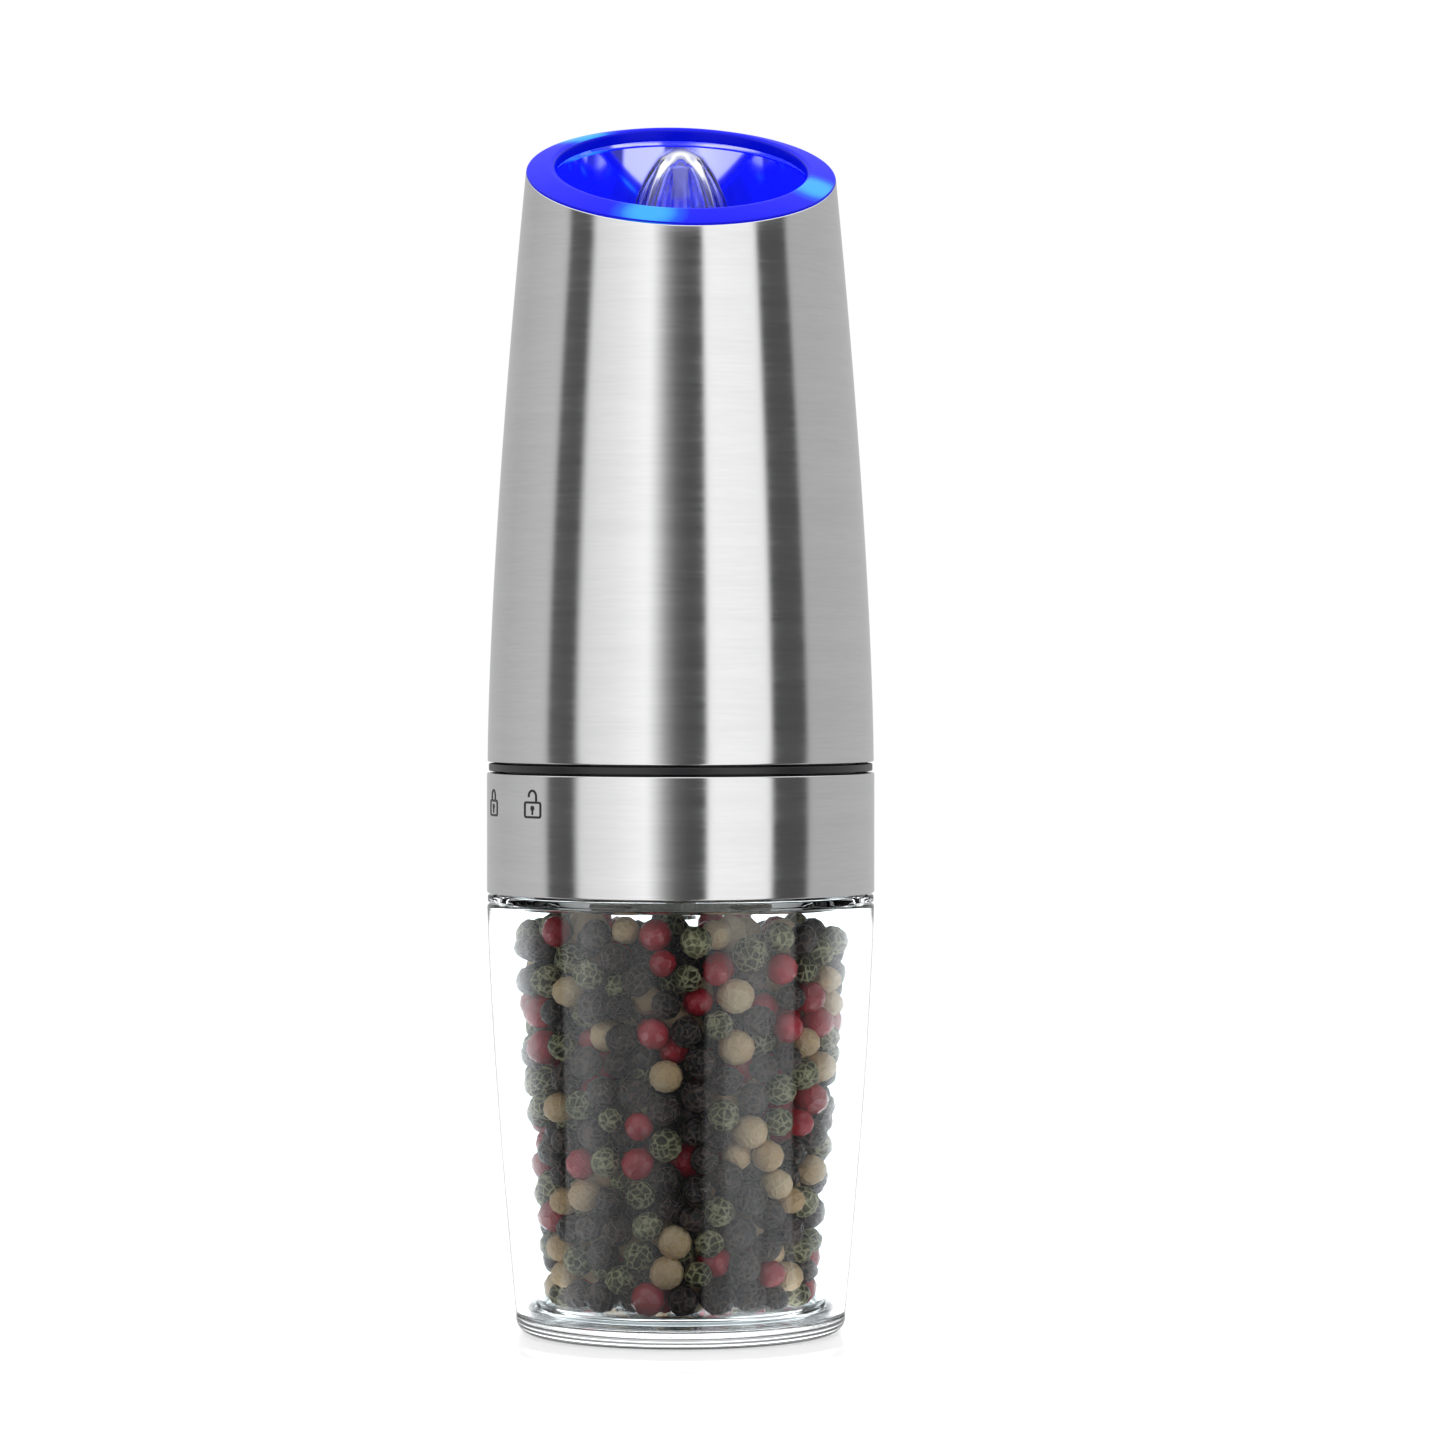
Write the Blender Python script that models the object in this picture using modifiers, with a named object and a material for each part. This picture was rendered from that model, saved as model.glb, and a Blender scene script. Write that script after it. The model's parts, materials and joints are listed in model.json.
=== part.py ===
"""Battery pepper mill that grinds when it is tipped upside down.

It stands on its jar. +Z is up, -Y is the front and the origin is the centre of the jar's base.
Lengths are in millimetres and angles in degrees; the functions that make meshes turn them into
metres and radians. From the bottom up: a double-walled jar that unscrews, the collar with the
burrs, two planetary gear stages, the motor with six AAA cells round it, and over them the steel
casing, which lifts off a bayonet and carries the hood, the dome and the slanted light ring.
"""

import math

import bmesh
import bpy
from mathutils import Matrix, Vector

MM = 0.001
GAP = 0.3  # clearance between neighbouring pieces
SIDES = 30  # facets of a piece turned about the main axis
FEW_SIDES = 10  # facets of a pin, a screw or a cell

# Jar
JAR_RADIUS = 31.5
JAR_TOP = 71.2
JAR_TAPER = 4.7  # how much smaller the radius is at the foot
JAR_CURVE = 1.4
JAR_WALL = 1.5
BASE_THICKNESS = 2.8
BASE_ROUNDING = 2.4
CUP_WALL = 1.2
CUP_FLOOR = 4.6
AIR_AT_TOP = 0.8  # air between the jar's two walls
AIR_AT_FOOT = 2.0
FLANGE_THICKNESS = 1.2
NECK_RADIUS = 26.6
NECK_WALL = 1.6
NECK_HEIGHT = 8.2
THREAD_STARTS = 3
THREAD_LEAD = 18.0  # rise in one turn of the quick thread
RIB_ARC = 56.0
RIB_HEIGHT = 1.4
RIB_DEPTH = 1.4
LUG_ARC = 24.0

# Collar
SEAL_THICKNESS = 1.0
SEAL_WIDTH = 1.7
COLLAR_TOP = 91.0
SLEEVE_WALL = 0.9
SKIRT_WALL = 1.9
DECK_THICKNESS = 2.0
DECK_RISE = 2.5
SPOKE_WIDTH = 6.0
SPOKE_THICKNESS = 2.8
SPOKE_ANGLES = (90.0, 210.0, 330.0)
SPIGOT_RADIUS = 28.6
SPIGOT_WALL = 1.8
SPIGOT_HEIGHT = 7.0

# Bayonet between the collar and the casing
LUG_ANGLES = (60.0, 180.0, 300.0)
BAYONET_ARC = 8.0
BAYONET_HEIGHT = 2.0
BAYONET_LIFT = 2.5  # lug's underside above the collar's top
LOCK_TURN = 28.0  # clockwise, seen from above

# Burrs
OUTER_BURR_RADIUS = 17.0
OUTER_BURR_HEIGHT = 9.7
BURR_TUBE_WALL = 1.5
BURR_TEETH = 12
BURR_TOOTH = 0.5
BURR_LIP = 1.3
RETAINER_THICKNESS = 1.3
RETAINER_INSIDE = 15.2
RETAINER_RADIUS = 20.6
INNER_BURR_TOP_RADIUS = 14.0
INNER_BURR_FOOT_RADIUS = 8.0
INNER_BURR_HEIGHT = 9.7
GRIND_GAP = 0.8
SHAFT_RADIUS = 2.5
SHAFT_END_RADIUS = 1.6
SHAFT_FOOT = 66.5
BUSH_RADIUS = 4.0
BUSH_FLANGE_RADIUS = 5.6
BUSH_FLANGE = 1.0
SPRING_RADIUS = 4.8
SPRING_WIRE = 0.35
SPRING_TURNS = 4
KNOB_RADIUS = 9.0
KNOB_HEIGHT = 4.7
KNOB_FLUTES = 12
KNOB_TRAVEL = 0.4  # of the inner burr, each way

# Gears
MODULE = 0.5
SUN_TEETH = 12
PLANET_TEETH = 12
RING_TEETH = SUN_TEETH + 2 * PLANET_TEETH
PRESSURE_ANGLE = 20.0
ADDENDUM = 0.4
DEDENDUM = 0.62
RING_ADDENDUM = 0.27
RING_DEDENDUM = 0.55
THINNING = 0.1  # taken off each tooth's thickness for backlash
PLANETS = 3
PLANET_FACE = 3.2
CARRIER_THICKNESS = 1.7
CARRIER_RADIUS = 8.2
PIN_RADIUS = 0.75
HOUSING_RADIUS = 10.8

# Motor
MOTOR_RADIUS = 10.0
MOTOR_WALL = 0.8
MOTOR_LENGTH = 26.0
MOTOR_CAP = 3.0
ROTOR_RADIUS = 7.6
ROTOR_SHAFT = 0.8
COMMUTATOR_RADIUS = 2.6

# Cells and their cage
CELL_RADIUS = 5.25
CELL_LENGTH = 44.5
CELL_NUB_RADIUS = 1.9
CELL_NUB = 0.9
CELLS = 6
CELL_SIDES = 14
CELL_CIRCLE = 17.45
CAGE_TUBE_WALL = 0.8
CAGE_FLOOR_EDGE = 1.5
CAGE_ROOF = 1.8
CAGE_FIN = 2.4
FIN_ANGLES = (30.0, 150.0, 270.0)
CONTACT_THICKNESS = 0.5
CONTACT_WIDTH = 6.0
COIL_HEIGHT = 2.6
COIL_TURNS = 2.5
BUTTON_HEIGHT = 0.9
SCREW_RADIUS = 1.1
SCREW_HEAD_RADIUS = 2.2
SCREW_HEAD = 1.7
LIGHT_PIN_CIRCLE = 25.4
LIGHT_PIN_RADIUS = 0.8

# Circuit board and tilt switch
BOARD_RADIUS = 19.5
BOARD_THICKNESS = 1.6
TILT_PLACE = (6.0, 0.0)
TILT_RADIUS = 2.6
TILT_WALL = 0.7
TILT_HEIGHT = 8.8
TILT_BALL_RADIUS = 1.5

# Casing
SEPARATOR_THICKNESS = 1.2
SEPARATOR_RADIUS = 31.2
CASING_RADIUS = 31.4
CASING_TAPER = 6.25  # how much smaller the radius is at the rim
CASING_CURVE = 1.5
CASING_WALL = 0.8
FOOT_HEIGHT = 10.2
FOOT_SPOKE = 3.5
FOOT_SPOKE_WIDTH = 5.0
HOOD_RADIUS = 24.0
HOOD_WALL = 1.0
HOOD_SHOULDER = 155.0
HOOD_TOP = 168.3
HOOD_TOP_RADIUS = 9.9
DOME_RADIUS = 9.5
DOME_HEIGHT = 23.7
DOME_WALL = 1.0
DOME_FLUTES = 8
FLUTE_DEPTH = 0.7
RIM_HEIGHT = 188.2  # of the slanted rim, on the axis
RIM_TILT = 21.4
RIM_HIGH_SIDE = 94.0  # the rim's highest point, seen from above
LEAN_FROM = 150.0  # below this the casing is level
RING_WIDTH = 4.7
RING_CREST = 1.6
RING_LIP = 0.9
REFLECTOR_WALL = 0.6
REFLECTOR_FOOT = 161.0
REFLECTOR_DROP = 1.2  # below the rim, on the axis
LED_BOARD_DROP = 3.2
LED_BOARD_THICKNESS = 1.0
LED_HEIGHT = 1.0
LED_ANGLES = (137.0, 258.0, 339.0)
FLEX_ANGLE = 118.0
FLEX_WIDTH = 9.0
FLEX_THICKNESS = 0.4

# Heights that follow, from the seal up
RIM_SLOPE = math.tan(math.radians(RIM_TILT))
COLLAR_RADIUS = JAR_RADIUS - SLEEVE_WALL - GAP
SEAL_FOOT = JAR_TOP + GAP
COLLAR_FOOT = SEAL_FOOT + SEAL_THICKNESS + GAP
SKIRT_INSIDE = COLLAR_RADIUS - SKIRT_WALL
THREAD_FOOT = COLLAR_FOOT + RIB_HEIGHT / 2 + 0.1
HUB_TOP = COLLAR_TOP + 0.5
HUB_FOOT = HUB_TOP - SPOKE_THICKNESS - 0.2
BUSH_FOOT = HUB_FOOT - GAP - BUSH_FLANGE
DECK_TOP = COLLAR_TOP - 0.5 - DECK_RISE
DECK_FOOT = DECK_TOP - DECK_THICKNESS
OUTER_BURR_TOP = DECK_FOOT - GAP
OUTER_BURR_FOOT = OUTER_BURR_TOP - OUTER_BURR_HEIGHT
BURR_TUBE_INSIDE = OUTER_BURR_RADIUS + GAP
BURR_TUBE_RADIUS = BURR_TUBE_INSIDE + BURR_TUBE_WALL
RETAINER_TOP = OUTER_BURR_FOOT - GAP
INNER_BURR_TOP = BUSH_FOOT - 2.7
INNER_BURR_FOOT = INNER_BURR_TOP - INNER_BURR_HEIGHT
SPRING_SEAT = INNER_BURR_TOP - 4.2
KNOB_TOP = INNER_BURR_FOOT - GAP
CARRIER_2_FOOT = HUB_TOP + GAP + 0.7
STAGE_2_FOOT = CARRIER_2_FOOT + CARRIER_THICKNESS + GAP
CARRIER_1_FOOT = STAGE_2_FOOT + PLANET_FACE + 0.5
STAGE_1_FOOT = CARRIER_1_FOOT + CARRIER_THICKNESS + GAP
PIN_TOP = STAGE_1_FOOT + PLANET_FACE + GAP
HOUSING_FOOT = HUB_TOP + GAP
HOUSING_TOP = PIN_TOP + GAP
MOTOR_FOOT = HOUSING_TOP + GAP
MOTOR_TOP = MOTOR_FOOT + MOTOR_LENGTH
CAGE_BORE = HOUSING_RADIUS + GAP
CAGE_TUBE_RADIUS = CAGE_BORE + CAGE_TUBE_WALL
CAGE_RADIUS = CELL_CIRCLE + CELL_RADIUS
SCREW_CIRCLE = CAGE_TUBE_RADIUS + GAP + SCREW_HEAD_RADIUS
CAGE_FOOT = HUB_TOP + GAP + 0.3
CAGE_FLOOR = CAGE_FOOT + 7.9
LOW_CONTACT = CAGE_FLOOR + GAP + CONTACT_THICKNESS
HIGH_CONTACT = LOW_CONTACT + COIL_HEIGHT + GAP + CELL_LENGTH + GAP + BUTTON_HEIGHT
CAGE_ROOF_FOOT = HIGH_CONTACT + CONTACT_THICKNESS + GAP
CAGE_TOP = CAGE_ROOF_FOOT + CAGE_ROOF
BOARD_FOOT = CAGE_TOP + GAP
BOARD_TOP = BOARD_FOOT + BOARD_THICKNESS
TILT_FOOT = BOARD_TOP + GAP
SEPARATOR_FOOT = COLLAR_TOP + GAP
CASING_FOOT = SEPARATOR_FOOT + SEPARATOR_THICKNESS + GAP
CASING_SPAN = RIM_HEIGHT - CASING_FOOT
FOOT_TOP = CASING_FOOT + FOOT_HEIGHT
HOOD_FOOT = FOOT_TOP + GAP
HOOD_INSIDE = HOOD_RADIUS - HOOD_WALL
DOME_FOOT = HOOD_TOP + GAP
PLANET_CIRCLE = MODULE * (SUN_TEETH + PLANET_TEETH) / 2

FINISHES = {  # colour, metallic, roughness, transmission
    "clear_acrylic": ((0.92, 0.94, 0.95), 0.0, 0.08, 0.9),
    "brushed_steel": ((0.62, 0.62, 0.63), 1.0, 0.3, 0.0),
    "black_abs": ((0.02, 0.02, 0.022), 0.0, 0.4, 0.0),
    "white_silicone": ((0.75, 0.75, 0.73), 0.0, 0.6, 0.0),
    "lead_sleeve": ((0.5, 0.03, 0.03), 0.0, 0.5, 0.0),
    "white_ceramic": ((0.86, 0.85, 0.82), 0.0, 0.35, 0.0),
    "white_acetal": ((0.82, 0.82, 0.8), 0.0, 0.45, 0.0),
    "sintered_bronze": ((0.45, 0.3, 0.15), 1.0, 0.45, 0.0),
    "plated_steel": ((0.6, 0.6, 0.58), 1.0, 0.25, 0.0),
    "spring_steel": ((0.5, 0.5, 0.52), 1.0, 0.3, 0.0),
    "copper_winding": ((0.6, 0.25, 0.1), 1.0, 0.4, 0.0),
    "grey_abs": ((0.3, 0.31, 0.32), 0.0, 0.5, 0.0),
    "cell_jacket": ((0.05, 0.12, 0.2), 0.0, 0.35, 0.0),
    "green_laminate": ((0.02, 0.18, 0.08), 0.0, 0.4, 0.0),
    "white_laminate": ((0.7, 0.72, 0.75), 0.0, 0.4, 0.0),
    "chromed_plastic": ((0.75, 0.76, 0.78), 1.0, 0.1, 0.0),
    "blue_light_guide": ((0.01, 0.01, 0.9), 0.0, 0.15, 0.5),
    "amber_film": ((0.6, 0.3, 0.05), 0.0, 0.4, 0.0),
}

for old in list(bpy.data.objects):
    bpy.data.objects.remove(old)
PARTS = bpy.data.collections.new("pepper_mill")
CUTTERS = bpy.data.collections.new("cutters")
for collection in (PARTS, CUTTERS):
    bpy.context.scene.collection.children.link(collection)


# Shapes

def finish_material(finish):
    if finish in bpy.data.materials:
        return bpy.data.materials[finish]
    colour, metallic, roughness, transmission = FINISHES[finish]
    material = bpy.data.materials.new(finish)
    material.use_nodes = True
    shader = material.node_tree.nodes["Principled BSDF"]
    shader.inputs["Base Color"].default_value = (*colour, 1.0)
    shader.inputs["Metallic"].default_value = metallic
    shader.inputs["Roughness"].default_value = roughness
    shader.inputs["Transmission Weight"].default_value = transmission
    return material


def group(name, parent=None):
    """An empty on the main axis that holds the pieces of one moving body."""
    empty = bpy.data.objects.new(name, None)
    empty.parent = parent
    PARTS.objects.link(empty)
    return empty


def place(name, data, finish, parent, at=(0.0, 0.0, 0.0), turn=0.0):
    piece = bpy.data.objects.new(name, data)
    if finish:
        data.materials.append(finish_material(finish))
    piece.location = [value * MM for value in at]
    piece.rotation_euler.z = math.radians(turn)
    piece.parent = parent
    PARTS.objects.link(piece)
    return piece


def turned(name, outline, finish=None, parent=None, sides=SIDES, at=(0.0, 0.0), turn=0.0):
    """A solid turned from an outline of (radius, height) points; one that meets the axis ends there."""
    area = sum(a[0] * b[1] - b[0] * a[1] for a, b in zip(outline, outline[1:] + outline[:1]))
    points = outline if area < 0 else outline[::-1]
    edges = [(i, i + 1) for i in range(len(points) - 1)]
    if points[0][0] > 0:
        edges.append((len(points) - 1, 0))
    mesh = bpy.data.meshes.new(name)
    mesh.from_pydata([(radius * MM, 0.0, height * MM) for radius, height in points], edges, [])
    piece = place(name, mesh, finish, parent, (*at, 0.0), turn)
    screw = piece.modifiers.new("turn", "SCREW")
    screw.axis = "Z"
    screw.steps = screw.render_steps = sides
    screw.use_merge_vertices = True
    screw.merge_threshold = 1e-6
    screw.use_smooth_shade = True
    return piece


def ring(inside, outside, foot, top):
    """The outline of a plain ring."""
    return [(outside, top), (outside, foot), (inside, foot), (inside, top)]


def disc(radius, foot, top):
    """The outline of a plain disc."""
    return [(0.0, top), (radius, top), (radius, foot), (0.0, foot)]


def block(name, size, middle, finish=None, parent=None, turn=0.0):
    """A box whose middle is at (along, across, up) once it has been turned about the main axis."""
    bm = bmesh.new()
    scale = Matrix.Diagonal([value * MM for value in size]).to_4x4()
    shift = Matrix.Translation([value * MM for value in middle])
    bmesh.ops.create_cube(bm, size=1.0, matrix=shift @ scale)
    mesh = bpy.data.meshes.new(name)
    bm.to_mesh(mesh)
    bm.free()
    return place(name, mesh, finish, parent, turn=turn)


def arc_bar(name, radii, heights, start, arc, rise=0.0):
    """A bar that runs round the main axis from the start angle, and rises as it goes."""
    bm = bmesh.new()
    corners = [(radii[0], heights[0]), (radii[1], heights[0]),
               (radii[1], heights[1]), (radii[0], heights[1])]
    face = bm.faces.new([bm.verts.new((radius * MM, 0.0, height * MM)) for radius, height in corners])
    steps = max(2, round(arc * SIDES / 360.0))
    bmesh.ops.spin(
        bm, geom=[face], cent=(0, 0, 0), axis=(0, 0, 1), dvec=(0, 0, rise * MM / steps),
        angle=math.radians(arc), steps=steps, use_duplicate=False,
    )
    bmesh.ops.recalc_face_normals(bm, faces=bm.faces)
    mesh = bpy.data.meshes.new(name)
    bm.to_mesh(mesh)
    bm.free()
    return place(name, mesh, None, None, turn=start)


def flat(name, outlines, foot, top, finish=None, parent=None, at=(0.0, 0.0), turn=0.0):
    """A plate cut to outlines of (x, y) points, the first of them outside and the others its holes."""
    curve = bpy.data.curves.new(name, "CURVE")
    curve.dimensions = "2D"
    curve.fill_mode = "BOTH"
    curve.extrude = (top - foot) / 2 * MM
    for outline in outlines:
        spline = curve.splines.new("POLY")
        spline.points.add(len(outline) - 1)
        for point, (x, y) in zip(spline.points, outline):
            point.co = (x * MM, y * MM, 0.0, 1.0)
        spline.use_cyclic_u = True
    return as_mesh(place(name, curve, finish, parent, (*at, (foot + top) / 2), turn))


def wire(name, points, radius, finish=None, parent=None, at=(0.0, 0.0), resolution=1):
    """A round wire through points."""
    curve = bpy.data.curves.new(name, "CURVE")
    curve.dimensions = "3D"
    curve.bevel_depth = radius * MM
    curve.bevel_resolution = resolution
    curve.use_fill_caps = True
    spline = curve.splines.new("POLY")
    spline.points.add(len(points) - 1)
    for point, place_at in zip(spline.points, points):
        point.co = (*[value * MM for value in place_at], 1.0)
    return as_mesh(place(name, curve, finish, parent, (*at, 0.0)))


def coil(radii, heights, turns, steps=10):
    """Points of a coil whose radius and height run between two values each."""
    count = round(turns * steps)
    points = []
    for i in range(count + 1):
        share = i / count
        radius = radii[0] + (radii[1] - radii[0]) * share
        angle = math.tau * i / steps
        height = heights[0] + (heights[1] - heights[0]) * share
        points.append((radius * math.cos(angle), radius * math.sin(angle), height))
    return points


def as_mesh(piece):
    """Makes a curve, or a piece with modifiers, one plain mesh of the same name."""
    bpy.context.view_layer.update()
    graph = bpy.context.evaluated_depsgraph_get()
    mesh = bpy.data.meshes.new_from_object(piece.evaluated_get(graph))
    bm = bmesh.new()
    bm.from_mesh(mesh)
    bmesh.ops.remove_doubles(bm, verts=bm.verts, dist=1e-6)
    bmesh.ops.recalc_face_normals(bm, faces=bm.faces)
    bm.to_mesh(mesh)
    bm.free()
    name, parent, matrix = piece.name, piece.parent, piece.matrix_world.copy()
    bpy.data.objects.remove(piece)
    plain = bpy.data.objects.new(name, mesh)
    plain.parent = parent
    plain.matrix_world = matrix
    PARTS.objects.link(plain)
    return plain


def combine(piece, operation, *tools):
    """Joins tools to a piece, or cuts them out of it, with one Boolean each."""
    for tool in tools:
        PARTS.objects.unlink(tool)
        CUTTERS.objects.link(tool)
        tool.hide_render = True
        tool.display_type = "WIRE"
        boolean = piece.modifiers.new(tool.name, "BOOLEAN")
        boolean.operation = operation
        boolean.solver = "EXACT"
        boolean.object = tool
    return piece


def circle(radius, count, at=(0.0, 0.0)):
    angles = [math.tau * i / count for i in range(count)]
    return [(at[0] + radius * math.cos(angle), at[1] + radius * math.sin(angle)) for angle in angles]


def polar(radius, angle):
    return radius * math.cos(math.radians(angle)), radius * math.sin(math.radians(angle))


# Curves that pieces share

def jar_radius(height):
    """The jar's outer radius, which draws in towards its foot."""
    share = (JAR_TOP - height) / (JAR_TOP - BASE_THICKNESS)
    return JAR_RADIUS - JAR_TAPER * max(share, 0.0) ** JAR_CURVE


def cup_radius(height):
    """The inner cup's outer radius: the air gap grows towards the foot."""
    share = (JAR_TOP - height) / (JAR_TOP - BASE_THICKNESS)
    air = AIR_AT_TOP + (AIR_AT_FOOT - AIR_AT_TOP) * share
    return jar_radius(height) - JAR_WALL - air


def casing_radius(height):
    """The casing's outer radius, which draws in towards its rim."""
    share = (height - CASING_FOOT) / CASING_SPAN
    return CASING_RADIUS - CASING_TAPER * max(share, 0.0) ** CASING_CURVE


def rim_height(angle):
    """Where the slanted rim cuts the casing's outer surface, at an angle in radians from +X."""
    height = RIM_HEIGHT
    for _ in range(20):
        height = rim_plane(casing_radius(height), angle)
    return height


def rim_plane(radius, angle):
    """The height of the slanted rim's plane over a place in plan."""
    return RIM_HEIGHT + RIM_SLOPE * radius * math.cos(angle - math.radians(RIM_HIGH_SIDE))


def heights_between(low, high, count):
    return [low + (high - low) * i / count for i in range(count + 1)]


def involute(radius, base):
    """The angle by which an involute has turned where it reaches a radius."""
    if radius <= base:
        return 0.0
    pressure = math.acos(base / radius)
    return math.tan(pressure) - pressure


def gear_outline(teeth, internal=False):
    """Tooth outline, with a tooth on +X: three points up each involute flank."""
    pitch = MODULE * teeth / 2
    base = pitch * math.cos(math.radians(PRESSURE_ANGLE))
    half = (math.pi * MODULE / 2 - THINNING) / 2 / pitch
    if internal:
        radii = (pitch + RING_DEDENDUM, pitch, pitch - RING_ADDENDUM)
        side = -1
    else:
        radii = (pitch - DEDENDUM, pitch, pitch + ADDENDUM)
        side = 1
    widths = [half + side * (involute(pitch, base) - involute(radius, base)) for radius in radii]
    points = []
    for tooth in range(teeth):
        middle = math.tau * tooth / teeth
        rising = [(radius, middle - width) for radius, width in zip(radii, widths)]
        falling = [(radius, middle + width) for radius, width in zip(radii[::-1], widths[::-1])]
        points += [(r * math.cos(a), r * math.sin(a)) for r, a in rising + falling]
    return points


# The jar

def make_jar(jar):
    shell_foot = BASE_THICKNESS + GAP
    shell_top = JAR_TOP - FLANGE_THICKNESS - GAP
    levels = heights_between(shell_foot, shell_top, 5)
    outside = [(jar_radius(z), z) for z in reversed(levels)]
    inside = [(jar_radius(z) - JAR_WALL, z) for z in levels]
    turned("jar_shell", outside + inside, "clear_acrylic", jar)

    underside = CUP_FLOOR - CUP_WALL
    levels = heights_between(underside, JAR_TOP - FLANGE_THICKNESS, 4)
    shoulder = JAR_TOP - 2.2
    flange = JAR_RADIUS - 0.1
    neck_top = JAR_TOP + NECK_HEIGHT
    bore = NECK_RADIUS - NECK_WALL
    outside = [(NECK_RADIUS, neck_top), (NECK_RADIUS, JAR_TOP), (flange, JAR_TOP), (flange, levels[-1])]
    outside += [(cup_radius(z), z) for z in reversed(levels)]
    inner_levels = heights_between(CUP_FLOOR, shoulder, 4)
    inside = [(0.0, underside), (0.0, CUP_FLOOR)]
    inside += [(cup_radius(z) - CUP_WALL, z) for z in inner_levels]
    inside += [(bore, JAR_TOP), (bore, neck_top)]
    outline = inside[1:] + outside + inside[:1]
    cup = turned("jar_cup", outline, "clear_acrylic", jar)
    for i in range(THREAD_STARTS):
        low = THREAD_FOOT + RIB_HEIGHT / 2 + 0.5
        rise = THREAD_LEAD * RIB_ARC / 360.0
        radii = (NECK_RADIUS - 0.5, NECK_RADIUS + RIB_DEPTH)
        start = i * 360.0 / THREAD_STARTS + 2.0
        rib = arc_bar(f"rib_{i}", radii, (low, low + RIB_HEIGHT), start, RIB_ARC, rise)
        combine(cup, "UNION", rib)

    radius = jar_radius(BASE_THICKNESS)
    corner = [(radius - BASE_ROUNDING * (1 - math.cos(a)), BASE_ROUNDING * (1 - math.sin(a)))
              for a in (0.0, math.pi / 6, math.pi / 3, math.pi / 2)]
    spigot_outside = jar_radius(BASE_THICKNESS) - JAR_WALL - GAP
    spigot_inside = cup_radius(underside) + GAP
    outline = [(0.0, BASE_THICKNESS), (spigot_inside, BASE_THICKNESS), (spigot_inside, CUP_FLOOR)]
    outline += [(spigot_outside, CUP_FLOOR), (spigot_outside, BASE_THICKNESS), (radius, BASE_THICKNESS)]
    turned("jar_base", outline + corner + [(0.0, 0.0)], "clear_acrylic", jar)


def make_seal(seal):
    outside = COLLAR_RADIUS - GAP
    turned("jar_seal", ring(outside - SEAL_WIDTH, outside, SEAL_FOOT, SEAL_FOOT + SEAL_THICKNESS),
           "white_silicone", seal)


# The collar, with its half of the bayonet

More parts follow.
